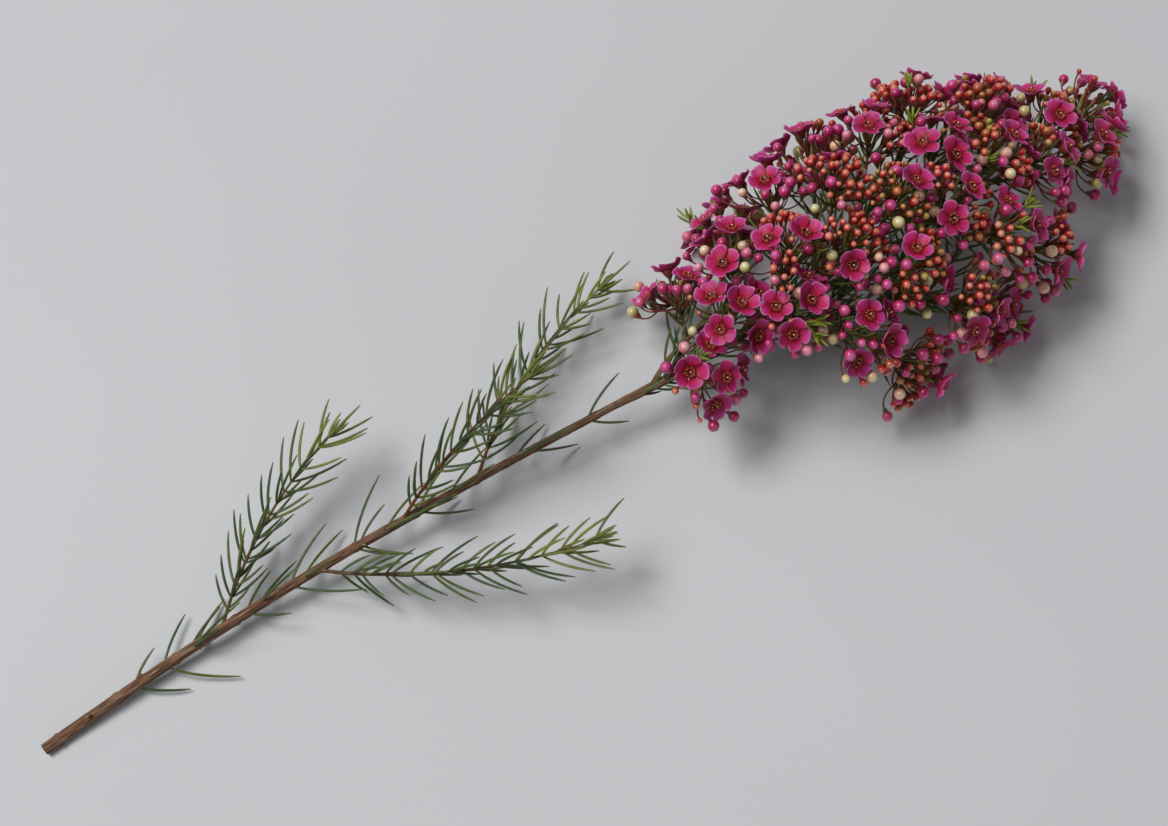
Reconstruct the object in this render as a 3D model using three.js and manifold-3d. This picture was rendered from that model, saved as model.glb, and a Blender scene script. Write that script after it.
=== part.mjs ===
// One cut stem of waxflower, laid on a flat surface: a woody axis, leafy side branches and shoots,
// and flower sprays of waxy five-petalled blooms and round buds on thin stalks.
// Millimetres. +X runs from the cut end to the tip, +Y across the stem, +Z up from the surface.
import * as THREE from "three";
import Module from "manifold-3d";

const wasm = await Module();
wasm.setup();

// ---------------------------------------------------------------- driving dimensions
const SEED = 9;
const ORIGIN = { x: 281.35, y: -7.61 }; // the middle of the box, counted from the cut end
const STEM = { length: 532, sway: 8, rise: 18, cutRadius: 2.7, topRadius: 1.0, sides: 8, steps: 18 };
const HEAD = { start: 294, end: 536, radius: 61, widestAt: 0.54, lowest: 0.08 };
// The head's height above and below the axis as shares of its radius, how far round it flowers, in degrees
// from the top, and how much its sprays crowd towards the top.
const HEAD_HEIGHT = { above: 0.9, below: 0.5, around: 108, crowding: 1.5 };
const SPRAYS = 31;
const SPRAY = { height: 26, inset: 20, baseRadius: 0.95, topRadius: 0.6, steps: 3 };
const SIDE_BRANCH = { reach: 1.8, start: 14, leave: 34, radius: 1.35, apart: 7.5 };
const TWIG = { radius: 0.9, turn: 60, shortest: 18, longest: 80, most: 3 };
const SHOOTS = [
  { at: 0.17, around: 62, length: 92 },
  { at: 0.26, around: -70, length: 118 },
  { at: 0.34, around: 20, length: 84 },
  { at: 0.41, around: 96, length: 104 },
];
const BLOOM = { radius: 7.9, petals: 5, cupRadius: 2.1, calyx: 4.4, rim: 0.6, lift: 0.2 };
const BUD = { fine: 1.5, fineMost: 2.2, fat: 2.3, fatMost: 2.85, calyx: 2.3 };
const SLOT = { width: 17.5, blooms: 0.84, young: 0.2, youngBlooms: 0.35 }; // a spray's places for heads
const SOLID_EVERY = { bloom: 1, bud: 30, needle: 5 }; // of the heads and needles that are drawn
const STALK_RADIUS = 0.52;
const LONG_STALK = 9; // from here on a stalk has a bend in it
const NEEDLE_RADIUS = 0.52;
const BRANCH_STEP = 22; // the length of a straight stretch of a branch
const FOLIAGE = {
  stem: { from: 0.1, to: 0.46, step: 15, shortest: 24, longest: 34 },
  shoot: { from: 0.12, to: 0.97, step: 9, shortest: 16, longest: 27 },
  branch: { from: 0.25, to: 0.9, step: 13, shortest: 13, longest: 24 },
  spray: { from: 0.05, to: 0.5, step: 9, shortest: 9, longest: 16 },
};
const SEAT_GAP = 0.3; // between two pieces that touch
const CLEAR = { heads: 0.25, nodes: 0.7 }; // between heads of one spray, and between nodes
const PRESSED = 0.35; // how far a head that meets the surface is flattened by it

// ---------------------------------------------------------------- small helpers
const vec = (x, y, z) => new THREE.Vector3(x, y, z);
const rad = THREE.MathUtils.degToRad;
const { lerp, clamp } = THREE.MathUtils;
const two = (n) => String(n).padStart(2, "0");

// start + sum of share * direction, for pairs of them.
function sum(start, ...pairs) {
  const made = start.clone();
  for (const [direction, share] of pairs) made.addScaledVector(direction, share);
  return made;
}
const mix = (...pairs) => sum(vec(0, 0, 0), ...pairs);

// A repeatable stream of draws between low and high.
function stream(seed) {
  let state = (seed * 2654435761) >>> 0;
  return (low, high) => {
    state = (Math.imul(state, 1664525) + 1013904223) >>> 0;
    return low + ((high - low) * state) / 4294967296;
  };
}

// Two unit vectors square to n and to each other.
function across(n) {
  const guide = Math.abs(n.z) < 0.9 ? vec(0, 0, 1) : vec(1, 0, 0);
  const first = guide.cross(n).normalize();
  return [first, n.clone().cross(first)];
}

// The direction at an angle round the axis that the two cross directions are square to.
const round = ([e1, e2], angle) => mix([e1, Math.cos(angle)], [e2, Math.sin(angle)]);

// A Bezier curve of three or four control points, as a function of the share along it.
function curveOf(controls) {
  const Bezier = controls.length === 3 ? THREE.QuadraticBezierCurve3 : THREE.CubicBezierCurve3;
  const curve = new Bezier(...controls);
  return (share) => curve.getPoint(share);
}
const pointsOf = (curve, steps) => Array.from({ length: steps + 1 }, (_, i) => curve(i / steps));
const sampled = (controls, steps) => pointsOf(curveOf(controls), steps);

// The corners of a line and the middles of its chords, where a new stalk may spring from it.
const withMiddles = (corners) =>
  corners.flatMap((p, i) => (i > 0 ? [corners[i - 1].clone().lerp(p, 0.5), p] : [p]));

// ---------------------------------------------------------------- what is already in place
// Every stalk, needle, bud and petal leaves capsules here, so that the next one can keep clear of them.
const placed = [];

function capsule(a, b, radius, node, organ, head) {
  const middle = a.clone().add(b).multiplyScalar(0.5);
  return { a, b, radius, node, organ, head, middle, reach: a.distanceTo(b) / 2 + radius };
}

// Capsules along a line of points.
function along(points, radius, node, organ) {
  return points.slice(1).map((p, i) => capsule(points[i], p, radius, node, organ, false));
}

// The least distance between the middle lines of two capsules.
function distance(p, q) {
  const d1 = p.b.clone().sub(p.a);
  const d2 = q.b.clone().sub(q.a);
  const r = p.a.clone().sub(q.a);
  const a = Math.max(d1.dot(d1), 1e-12);
  const e = Math.max(d2.dot(d2), 1e-12);
  const b = d1.dot(d2);
  const c = d1.dot(r);
  const f = d2.dot(r);
  const s0 = clamp((b * f - c * e) / Math.max(a * e - b * b, 1e-9), 0, 1);
  const t = clamp((b * s0 + f) / e, 0, 1);
  const s = clamp((b * t - c) / a, 0, 1);
  return sum(p.a, [d1, s]).distanceTo(sum(q.a, [d2, t]));
}

// True if the new capsules are above the surface and clear of all that is placed. Stalks of one node may
// meet, because they grow together, and so may a stalk and the node that it is seated on.
function fits(fresh, seat) {
  return fresh.every((c) => {
    if (Math.min(c.a.z, c.b.z) - c.radius < (c.head ? -2 * PRESSED : 0)) return false;
    return placed.every((k) => {
      const same = c.node === k.node;
      if (same && (c.organ === k.organ || !(c.head || k.head))) return true;
      if (k.node === seat && !c.head && !k.head) return true;
      const apart = c.radius + k.radius + (same ? CLEAR.heads : CLEAR.nodes);
      if (c.middle.distanceTo(k.middle) - c.reach - k.reach > apart) return true;
      return distance(c, k) >= apart;
    });
  });
}

// ---------------------------------------------------------------- the woody axis
// A slight S across the surface, rising from the cut end into the head, which holds it up.
function stemPoint(u) {
  const lift = Math.sin((Math.PI / 2) * Math.min(1, u / 0.82));
  const seat = STEM.cutRadius * Math.cos(Math.PI / STEM.sides) - PRESSED;
  return vec(STEM.length * u, STEM.sway * Math.sin(1.6 * Math.PI * u + 0.7), seat + STEM.rise * lift);
}
const stemTangent = (u) => stemPoint(u + 0.002).sub(stemPoint(u - 0.002)).normalize();
const stemRadius = (u) => lerp(STEM.cutRadius, STEM.topRadius, u);
const stemShare = (x) => clamp(x / STEM.length, 0, 1);

// ---------------------------------------------------------------- branches, twigs and shoots
const plan = { branches: [], sprays: [], organs: [] };

function planStem() {
  const steps = 60;
  const points = pointsOf(stemPoint, steps);
  for (let i = 0; i < steps; i += 1)
    placed.push(capsule(points[i], points[i + 1], stemRadius(i / steps), "woody_stem", -1, false));
}

// The head's outline: its radius as a share of the largest, from 0 at its start to 1 at the tip.
function outline(t) {
  const w = HEAD.widestAt;
  return t < w
    ? Math.sin((Math.PI / 2) * (t / w) ** 0.8)
    : Math.cos((Math.PI / 2) * ((t - w) / (1 - w)) ** 1.4);
}

// Where each spray springs from and which way it faces: even over the head, by the golden ratio.
function sprayBases() {
  const steps = 240;
  const area = [0];
  const at = (i) => HEAD.lowest + ((1 - HEAD.lowest) * i) / steps;
  for (let i = 0; i < steps; i += 1) area.push(area[i] + outline(at(i + 0.5)) + 0.1);
  const bases = [];
  for (let k = 0; k < SPRAYS - 1; k += 1) {
    const wanted = (area[steps] * (k + 0.5)) / (SPRAYS - 0.4);
    const t = at(area.findIndex((sofar) => sofar > wanted));
    const share = (0.27 + k * 0.6180339887) % 1;
    const away = 2 * share - 1;
    const around = rad(HEAD_HEIGHT.around) * Math.sign(away) * Math.abs(away) ** HEAD_HEIGHT.crowding;
    const reach = Math.max(11, HEAD.radius * outline(t) - SPRAY.inset);
    const up = Math.cos(around);
    const foot = stemPoint(stemShare(lerp(HEAD.start, HEAD.end, t)));
    const height = up > 0 ? HEAD_HEIGHT.above : HEAD_HEIGHT.below;
    const base = sum(foot, [vec(0, Math.sin(around), up * height), reach]);
    base.z = Math.max(base.z, 11);
    const tip = rad(14 + 56 * t * t);
    const facing = vec(Math.sin(tip), Math.sin(around) * Math.cos(tip), up * Math.cos(tip));
    facing.z = Math.max(facing.z, -0.05);
    bases.push({ around, reach, foot, base, facing: facing.normalize(), k });
  }
  return bases;
}

// Control points from a to b, leaving along the direction out and arriving along facing, bowed sideways.
function bowed(a, out, b, facing, bow) {
  const span = a.distanceTo(b);
  const side = across(b.clone().sub(a).normalize())[0];
  return [a, sum(a, [out, 0.38 * span], [side, bow]), sum(b, [facing, -0.3 * span], [side, 0.6 * bow]), b];
}

// The ways to reach a spray's base by a twig of a side branch that passes near, the shortest first.
function twigStarts(spot, hosts) {
  const starts = [];
  for (const host of hosts) {
    if (host.carries >= TWIG.most) continue;
    for (let i = 3; i <= 9; i += 1) {
      const from = host.points[i];
      const out = host.points[i + 1].clone().sub(from).normalize();
      const leap = spot.base.clone().sub(from);
      const turn = THREE.MathUtils.radToDeg(out.angleTo(leap));
      const span = leap.length();
      if (turn > TWIG.turn || span < TWIG.shortest || span > TWIG.longest) continue;
      starts.push({ host, from, out, cost: span + 0.5 * Math.abs(turn - 36), radii: [TWIG.radius, 0.85] });
    }
  }
  return starts.sort((a, b) => a.cost - b.cost);
}

// The way to reach a spray's base by a side branch of its own from the axis, at x along it.
function branchStart(spot, x) {
  const u = stemShare(x);
  const from = stemPoint(u);
  const heading = stemTangent(u);
  const away = spot.base.clone().sub(from);
  away.addScaledVector(heading, -away.dot(heading)).normalize();
  const leave = rad(SIDE_BRANCH.leave);
  const out = mix([heading, Math.cos(leave)], [away, Math.sin(leave)]);
  return { host: null, from, out, radii: [SIDE_BRANCH.radius, 0.9] };
}

const BOWS = [0, 5, -5, 10, -10, 16, -16];

function addBranch(name, controls, radii, kind) {
  const points = sampled(controls, 12);
  placed.push(...along(points, Math.max(...radii), name, -1));
  const branch = { name, controls, radii, points, kind, carries: 1 };
  plan.branches.push(branch);
  return branch;
}

// Each spray's base gets a twig from a side branch near it, or else a side branch from the axis.
function planBranches() {
  const hosts = [];
  let last = 0;
  for (const spot of sprayBases()) {
    const soonest = spot.foot.x - SIDE_BRANCH.reach * spot.reach - SIDE_BRANCH.start;
    const x = Math.max(soonest, last + SIDE_BRANCH.apart);
    const starts = [...twigStarts(spot, hosts), branchStart(spot, x), branchStart(spot, x + 12)];
    const found = starts.flatMap((start) => BOWS.map((bow) => ({ ...start, bow }))).find((start) => {
      start.name = start.host ? start.host.name : `side_branch_${two(hosts.length + 1)}`;
      start.controls = bowed(start.from, start.out, spot.base, spot.facing, start.bow);
      const fresh = along(sampled(start.controls, 12), Math.max(...start.radii), start.name, -1);
      return fits(fresh, start.host ? start.name : "woody_stem");
    });
    if (!found) continue;
    const made = addBranch(found.name, found.controls, found.radii, "branch");
    if (found.host) found.host.carries += 1;
    else {
      hosts.push(made);
      last = found.from.x;
    }
    plan.sprays.push({ ...spot, seat: found.name });
  }
  plan.sprays.push({ base: stemPoint(1), facing: stemTangent(1), k: SPRAYS - 1, seat: "woody_stem" });
}

// The leafy shoots low on the axis, which bear no flowers and curve up along it.
function planShoots() {
  SHOOTS.forEach(({ at, around, length }, i) => {
    const root = stemPoint(at);
    const heading = stemTangent(at);
    const up = Math.cos(rad(around)) * (Math.abs(around) < 90 ? 0.8 : 0.3);
    const away = vec(0, Math.sin(rad(around)), up).normalize();
    const controls = [
      root,
      sum(root, [heading, 0.2 * length], [away, 0.2 * length]),
      sum(root, [heading, 0.55 * length], [away, 0.42 * length]),
      sum(root, [heading, 0.92 * length], [away, 0.5 * length]),
    ];
    addBranch(`leafy_shoot_${two(i + 1)}`, controls, [0.95, 0.55], "shoot");
  });
}

// The stalk in the middle of each spray: it goes on from its branch along the way the spray faces.
function planStalks() {
  plan.sprays.forEach((spray, i) => {
    spray.name = `spray_${two(i + 1)}`;
    const draw = stream(SEED + 100 + spray.k);
    const { base, facing } = spray;
    spray.cross = across(facing);
    const sway = round(spray.cross, draw(0, 2 * Math.PI));
    const end = sum(base, [facing, 0.86 * SPRAY.height], [sway, 1.5]);
    spray.axis = [base, sum(base, [facing, 0.45 * SPRAY.height]), end];
    spray.lines = [{ points: withMiddles(sampled(spray.axis, SPRAY.steps)), organ: -1 }];
    placed.push(...along(sampled(spray.axis, 4), SPRAY.baseRadius, spray.name, -1));
  });
}

// ---------------------------------------------------------------- blooms and buds
// The capsules of one head on its stalk: petals and cup of a bloom, or the ball of a bud.
function headCapsules({ kind, at, axis, size, twist, path, node }, number) {
  const stalk = along(sampled(path, 3), STALK_RADIUS, node, number);
  if (kind === "bud") return [...stalk, capsule(at, at, size, node, number, true)];
  const cross = across(axis);
  const petals = Array.from({ length: BLOOM.petals }, (_, i) => {
    const out = round(cross, twist + (2 * Math.PI * i) / BLOOM.petals);
    const middle = sum(at, [out, 0.57 * size], [axis, 0.9]);
    return capsule(middle, middle, 0.44 * size, node, number, true);
  });
  return [...stalk, capsule(sum(at, [axis, -3]), at, BLOOM.cupRadius + 0.2, node, number, true), ...petals];
}

// The least height over the surface of the middle of a head, with its edge pressed flat on the surface.
function leastHeight(kind, axis, size) {
  if (kind === "bud") return size - PRESSED;
  const slope = Math.sqrt(1 - axis.z * axis.z);
  const rim = BLOOM.lift * size - (axis.z > 0 ? BLOOM.rim : 0);
  const edge = 0.98 * size * slope - rim * axis.z - PRESSED;
  return Math.max(edge, BLOOM.calyx * axis.z + BLOOM.cupRadius * slope);
}

// The corners of a stalk: a long one has a bend in the middle.
const stalkLine = (path) => sampled(path, path[0].distanceTo(path[2]) < LONG_STALK ? 1 : 2);

// Where a new stalk springs from: the nearest point of a stalk of its spray that heads its way.
function springFrom(spray, foot, knee) {
  let best = { cost: Infinity, from: spray.lines[0].points[2], organ: -1 };
  for (const { points, organ } of spray.lines) {
    for (let i = 1; i + 1 < points.length; i += 1) {
      const from = points[i];
      const turn = points[i + 1].clone().sub(from).angleTo(knee.clone().sub(from));
      const span = from.distanceTo(foot);
      const cost = span + 8 * Math.abs(turn - 0.5);
      if (turn < 1.2 && span > 5 && cost < best.cost) best = { cost, from, organ };
    }
  }
  return best;
}

// Shifts to try for a head, in head radii: two across it and one along it.
const SHIFTS = [[0, 0, 0]];
for (const far of [0.45, 0.9, 1.4]) {
  for (let i = 0; i < 6; i += 1) {
    const angle = (Math.PI / 3) * i;
    SHIFTS.push([far * Math.cos(angle), far * Math.sin(angle), (i % 2 ? 0.35 : -0.35) * far]);
  }
}

// Places a head as near as it fits to where it was drawn.
function place(spray, kind, spot, axis, size, twist) {
  const [c1, c2] = across(axis);
  const calyx = kind === "bloom" ? BLOOM.calyx : size + BUD.calyx;
  for (const [right, front, up] of SHIFTS) {
    const at = sum(spot, [c1, right * size], [c2, front * size], [axis, up * size]);
    at.z = Math.max(at.z, leastHeight(kind, axis, size));
    const foot = sum(at, [axis, -calyx]);
    const knee = sum(foot, [axis, -0.3 * foot.distanceTo(spray.base)]);
    const { from, organ: host } = springFrom(spray, foot, knee);
    const path = [from, sum(foot, [axis, -0.4 * foot.distanceTo(from)]), foot];
    const organ = { kind, at, axis, size, twist, path, node: spray.name, host };
    const fresh = headCapsules(organ, plan.organs.length);
    if (!fits(fresh, spray.seat)) continue;
    placed.push(...fresh);
    spray.lines.push({ points: withMiddles(stalkLine(path)), organ: plan.organs.length });
    plan.organs.push(organ);
    return;
  }
}

// A spray's places for heads, one in the middle and a ring round it, each with its point and axis.
function slotsOf(spray, draw) {
  const { base, facing, cross } = spray;
  const ringed = draw(0, 1) < 0.25 ? 5 : 4;
  const turn = draw(0, 2 * Math.PI);
  const slots = [{ at: sum(base, [facing, SPRAY.height + 3]), axis: facing }];
  for (let i = 0; i < ringed; i += 1) {
    const out = round(cross, turn + (2 * Math.PI * (i + draw(-0.12, 0.12))) / ringed);
    const reach = SLOT.width / 2 / Math.sin(Math.PI / ringed) + draw(-1, 1.5);
    const tilt = rad(34 + draw(-12, 12));
    const at = sum(base, [facing, SPRAY.height - 4.5 + draw(-3, 3)], [out, reach]);
    slots.push({ at, axis: mix([facing, Math.cos(tilt)], [out, Math.sin(tilt)]) });
  }
  return slots;
}

// A bunch of fine buds in a dome over one place, the first in its middle.
function planBunch(spray, { at, axis }, draw) {
  const cross = across(axis);
  const buds = 8 + Math.floor(draw(0, 5));
  for (let i = 0; i < buds; i += 1) {
    const reach = 2.75 * Math.sqrt(i);
    const out = round(cross, i * 2.39996);
    const spot = sum(at, [out, reach], [axis, 2.5 - 0.05 * reach * reach]);
    const faced = mix([axis, 1], [out, 0.07 * reach]).normalize();
    place(spray, "bud", spot, faced, lerp(BUD.fine, BUD.fineMost, draw(0, 1)), 0);
  }
}

// The fat buds between the places of a spray, lower than the heads and turned further out.
function planFatBuds(spray, draw) {
  const { base, facing, cross } = spray;
  const buds = 4 + Math.floor(draw(0, 3));
  const turn = draw(0, 2 * Math.PI);
  for (let i = 0; i < buds; i += 1) {
    const out = round(cross, turn + (2 * Math.PI * (i + draw(-0.15, 0.15))) / buds);
    const tilt = rad(draw(20, 50));
    const at = sum(base, [facing, SPRAY.height - draw(0, 6)], [out, draw(8, 21)]);
    const axis = mix([facing, Math.cos(tilt)], [out, Math.sin(tilt)]);
    place(spray, "bud", at, axis, draw(BUD.fat, BUD.fatMost), 0);
  }
}

function planHeads() {
  for (const spray of plan.sprays) {
    const draw = stream(SEED + 200 + spray.k);
    const blooms = draw(0, 1) < SLOT.young ? SLOT.youngBlooms : SLOT.blooms;
    const slots = slotsOf(spray, draw).map((slot) => ({ ...slot, open: draw(0, 1) < blooms }));
    for (const { at, axis } of slots.filter(({ open }) => open))
      place(spray, "bloom", at, axis, BLOOM.radius * draw(0.9, 1.05), draw(0, 2 * Math.PI));
    for (const slot of slots.filter(({ open }) => !open)) planBunch(spray, slot, draw);
    planFatBuds(spray, draw);
  }
}

// ---------------------------------------------------------------- needle leaves
const TURNS = [0, 35, -35, 70, -70];

// Pairs of needles along a stalk, each pair a quarter turn on from the last, each needle bent back in.
function planNeedles(node, curve, seed, { from, to, step, shortest, longest }) {
  const draw = stream(seed);
  const line = pointsOf(curve, 24);
  const span = line.slice(1).reduce((length, p, i) => length + p.distanceTo(line[i]), 0);
  const pairs = Math.floor(((to - from) * span) / step);
  for (let i = 0; i < pairs; i += 1) {
    const share = from + ((to - from) * (i + 0.5)) / pairs;
    const root = curve(share);
    const heading = curve(share + 0.02).sub(root).normalize();
    const cross = across(heading);
    for (const half of [0, Math.PI]) {
      const first = (i % 2) * (Math.PI / 2) + half + draw(-0.35, 0.35);
      const length = draw(shortest, longest);
      const open = rad(draw(26, 42));
      const wide = open + 0.25;
      for (const turn of TURNS) {
        const out = round(cross, first + rad(turn));
        const bent = mix([heading, Math.cos(wide)], [out, Math.sin(wide)]);
        const knee = sum(root, [bent, 0.42 * length]);
        const tip = sum(root, [heading, length * Math.cos(open)], [out, length * Math.sin(open)]);
        const path = [root, knee, tip];
        const fresh = along(sampled(path, 3), NEEDLE_RADIUS, node, plan.organs.length);
        if (!fits(fresh, null)) continue;
        placed.push(...fresh);
        plan.organs.push({ kind: "needle", node, path, host: -1 });
        break;
      }
    }
  }
}

function planFoliage() {
  planNeedles("woody_stem", stemPoint, SEED + 400, FOLIAGE.stem);
  plan.branches.forEach(({ name, controls, kind }, i) => {
    planNeedles(name, curveOf(controls), SEED + 401 + i, FOLIAGE[kind]);
  });
  plan.sprays.forEach(({ name, axis }, i) => {
    planNeedles(name, curveOf(axis), SEED + 500 + i, FOLIAGE.spray);
  });
}

planStem();
planBranches();
planShoots();
planStalks();
planHeads();
planFoliage();

// ---------------------------------------------------------------- solids
// A closed solid skinned over rings of points, from a first ring to a last ring or point. Rings may have
// different counts, and each runs anticlockwise as seen from the end.
function skin(rings) {
  const faces = [];
  let low = 0;
  for (let k = 0; k + 1 < rings.length; k += 1) {
    const n = rings[k].length;
    const m = rings[k + 1].length;
    const high = low + n;
    let i = 0;
    let j = 0;
    while (i < n || (m > 1 && j < m)) {
      const lower = i < n && (m === 1 || j >= m || (i + 1) / n <= (j + 1) / m + 1e-9);
      if (lower) faces.push(low + i, low + ((i + 1) % n), high + (j % m));
      else faces.push(low + (i % n), high + ((j + 1) % m), high + j);
      if (lower) i += 1;
      else j += 1;
    }
    low = high;
  }
  for (let i = 1; i + 1 < rings[0].length; i += 1) faces.push(0, i + 1, i);
  for (let i = 1; i + 1 < rings.at(-1).length; i += 1) faces.push(low, low + i, low + i + 1);
  const vertProperties = new Float32Array(rings.flat().flatMap((p) => p.toArray()));
  return new wasm.Manifold(new wasm.Mesh({ numProp: 3, vertProperties, triVerts: new Uint32Array(faces) }));
}

// A ring of points round a centre, square to its two cross directions.
function ring(centre, cross, radius, sides, turn = 0) {
  return Array.from({ length: sides }, (_, i) => {
    const out = round(cross, turn + (2 * Math.PI * i) / sides);
    return sum(centre, [out, radius]);
  });
}

// Rings along a line of points, carried from one to the next without twist.
function tube(points, radiusAt, sides, turn = 0) {
  const last = points.length - 1;
  let first = null;
  return points.map((p, i) => {
    const heading = points[Math.min(last, i + 1)].clone().sub(points[Math.max(0, i - 1)]).normalize();
    first = first ? sum(first, [heading, -first.dot(heading)]).normalize() : across(heading)[0];
    return ring(p, [first, heading.clone().cross(first)], radiusAt(i / last), sides, turn);
  });
}

// A stalk's rings from inside the stalk that carries it to the foot of its head.
const stalkRings = (path) =>
  tube(stalkLine(path), (share) => (share > 0 ? STALK_RADIUS : 0.5 * STALK_RADIUS), 3);

function budSolid({ path, at, axis, size }) {
  const cross = across(axis);
  return skin([
    ...stalkRings(path),
    ring(sum(at, [axis, -0.35 * size]), cross, 0.98 * size, 5),
    ring(sum(at, [axis, 0.5 * size]), cross, 0.86 * size, 5),
    [sum(at, [axis, size])],
  ]);
}

// A bloom is one skin: its stalk, the flaring cup and the five round-ended petals about a sunk centre.
function bloomSolid({ path, at, axis, size, twist }) {
  const cross = across(axis);
  const edge = [
    { angle: -36, reach: 0.6, lift: 0.1 },
    { angle: -17, reach: 0.98, lift: BLOOM.lift },
    { angle: 17, reach: 0.98, lift: BLOOM.lift },
  ];
  const petalRing = (sink) =>
    Array.from({ length: BLOOM.petals }, (_, petal) =>
      edge.map(({ angle, reach, lift }) => {
        const out = round(cross, twist + (2 * Math.PI * petal) / BLOOM.petals + rad(angle));
        return sum(at, [out, reach * size], [axis, lift * size - sink]);
      }),
    ).flat();
  return skin([
    ...stalkRings(path),
    ring(sum(at, [axis, -1.4]), cross, BLOOM.cupRadius, 5, twist),
    petalRing(BLOOM.rim),
    petalRing(0),
    [sum(at, [axis, -0.3])],
  ]);
}

function needleSolid({ path }) {
  const [root, middle, tip] = sampled(path, 2);
  const rings = tube([root, middle, tip], (share) => NEEDLE_RADIUS * (1 - 0.15 * share), 3);
  return skin([rings[0], rings[1], [tip]]);
}

const SOLID_OF = { bud: budSolid, bloom: bloomSolid, needle: needleSolid };

// Every bloom is a solid, and so are an even share of buds and needles, with the stalks that carry them.
function chooseSolids() {
  const seen = { bloom: 0, bud: 0, needle: 0 };
  for (const organ of plan.organs) {
    organ.chosen = seen[organ.kind] % SOLID_EVERY[organ.kind] === 0;
    if (organ.kind === "bud" && organ.at.z < organ.size) organ.chosen = true;
    seen[organ.kind] += 1;
  }
  for (const organ of [...plan.organs].reverse()) {
    if (organ.chosen && organ.host >= 0) plan.organs[organ.host].chosen = true;
  }
}

function organSolids(node) {
  const chosen = plan.organs.filter((organ) => organ.node === node && organ.chosen);
  return chosen.map((organ) => SOLID_OF[organ.kind](organ));
}

// The axis, with a flat side down, grown all round by a little where room is cut for it.
function stemSolid(grown) {
  const line = pointsOf(stemPoint, STEM.steps);
  return skin(tube(line, (share) => stemRadius(share) + grown, STEM.sides, Math.PI / STEM.sides));
}

function branchSolid({ controls, radii }) {
  const steps = Math.max(3, Math.round(controls[0].distanceTo(controls[3]) / BRANCH_STEP));
  return skin(tube(sampled(controls, steps), (share) => lerp(...radii, share), 4));
}

// The middle stalk of a spray starts at a small gap from the end of its branch.
function spraySolid({ axis, facing }) {
  const line = sampled(axis, SPRAY.steps);
  line[0].addScaledVector(facing, SEAT_GAP);
  return skin(tube(line, (share) => lerp(SPRAY.baseRadius, SPRAY.topRadius, share), 4));
}

// ---------------------------------------------------------------- the part
const LOOKS = {
  wood: { color: 0x6b5140, roughness: 0.85 },
  leaf: { color: 0x3f5a2a, roughness: 0.6 },
  flower: { color: 0xb03a78, roughness: 0.45 },
};

// One node: its solids joined, cut flat where they meet the surface, with room cut for what carries them.
function node(name, solids, room, look) {
  let joined = wasm.Manifold.union(solids).trimByPlane([0, 0, 1], 0);
  if (room) joined = joined.subtract(room);
  const [largest] = joined.decompose().sort((a, b) => b.volume() - a.volume());
  const { vertProperties, triVerts } = largest.getMesh();
  const geometry = new THREE.BufferGeometry();
  geometry.setAttribute("position", new THREE.BufferAttribute(vertProperties, 3));
  geometry.setIndex(new THREE.BufferAttribute(triVerts, 1));
  geometry.translate(-ORIGIN.x, -ORIGIN.y, 0);
  geometry.computeVertexNormals();
  const mesh = new THREE.Mesh(geometry, new THREE.MeshStandardMaterial({ ...LOOKS[look], metalness: 0 }));
  mesh.name = name;
  return mesh;
}

chooseSolids();
const part = new THREE.Group();
part.add(node("woody_stem", [stemSolid(0), ...organSolids("woody_stem")], null, "wood"));
const room = stemSolid(SEAT_GAP);
for (const name of new Set(plan.branches.map((branch) => branch.name))) {
  const tubes = plan.branches.filter((branch) => branch.name === name).map(branchSolid);
  part.add(node(name, [...tubes, ...organSolids(name)], room, "leaf"));
}
for (const spray of plan.sprays) {
  part.add(node(spray.name, [spraySolid(spray), ...organSolids(spray.name)], null, "flower"));
}
export default part;
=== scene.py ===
# %% [markdown]
# # A cut stem of waxflower
# The stem lies on a pale surface: a woody axis, four leafy shoots low on it, and a dense head in which side
# branches and twigs carry thirty sprays of waxy five-petalled blooms and round buds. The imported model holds
# the plain solids. This lesson grows the same plant again, by the same rule and the same draws, and gives
# each limb its fine surface. Lengths are in millimetres, as a gardener would say them, until a surface
# becomes a mesh, which is in metres.

import math
from collections import Counter
from functools import partial

import bpy
import numpy as np
from mathutils import Matrix, Vector


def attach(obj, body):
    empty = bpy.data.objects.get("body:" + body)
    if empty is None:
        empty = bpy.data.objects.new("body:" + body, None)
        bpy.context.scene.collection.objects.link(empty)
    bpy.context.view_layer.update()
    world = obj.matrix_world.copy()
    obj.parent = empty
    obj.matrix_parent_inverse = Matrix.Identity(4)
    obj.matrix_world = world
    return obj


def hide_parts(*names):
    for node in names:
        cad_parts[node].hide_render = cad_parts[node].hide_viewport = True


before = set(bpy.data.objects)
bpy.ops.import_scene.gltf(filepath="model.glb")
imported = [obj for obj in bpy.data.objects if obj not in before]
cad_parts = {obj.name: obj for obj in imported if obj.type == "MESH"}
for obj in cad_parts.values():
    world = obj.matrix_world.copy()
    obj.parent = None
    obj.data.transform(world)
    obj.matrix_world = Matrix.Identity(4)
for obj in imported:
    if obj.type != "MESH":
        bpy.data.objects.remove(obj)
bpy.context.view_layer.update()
print("nodes in the packed model:", len(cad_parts))

# %% [markdown]
# ## The measures of the plant
# These are the plant's driving sizes. They are the ones that its solids were grown with, so every spray,
# bloom and needle comes out where its solid is. Angles are in degrees, and shares run from 0 to 1.

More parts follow.
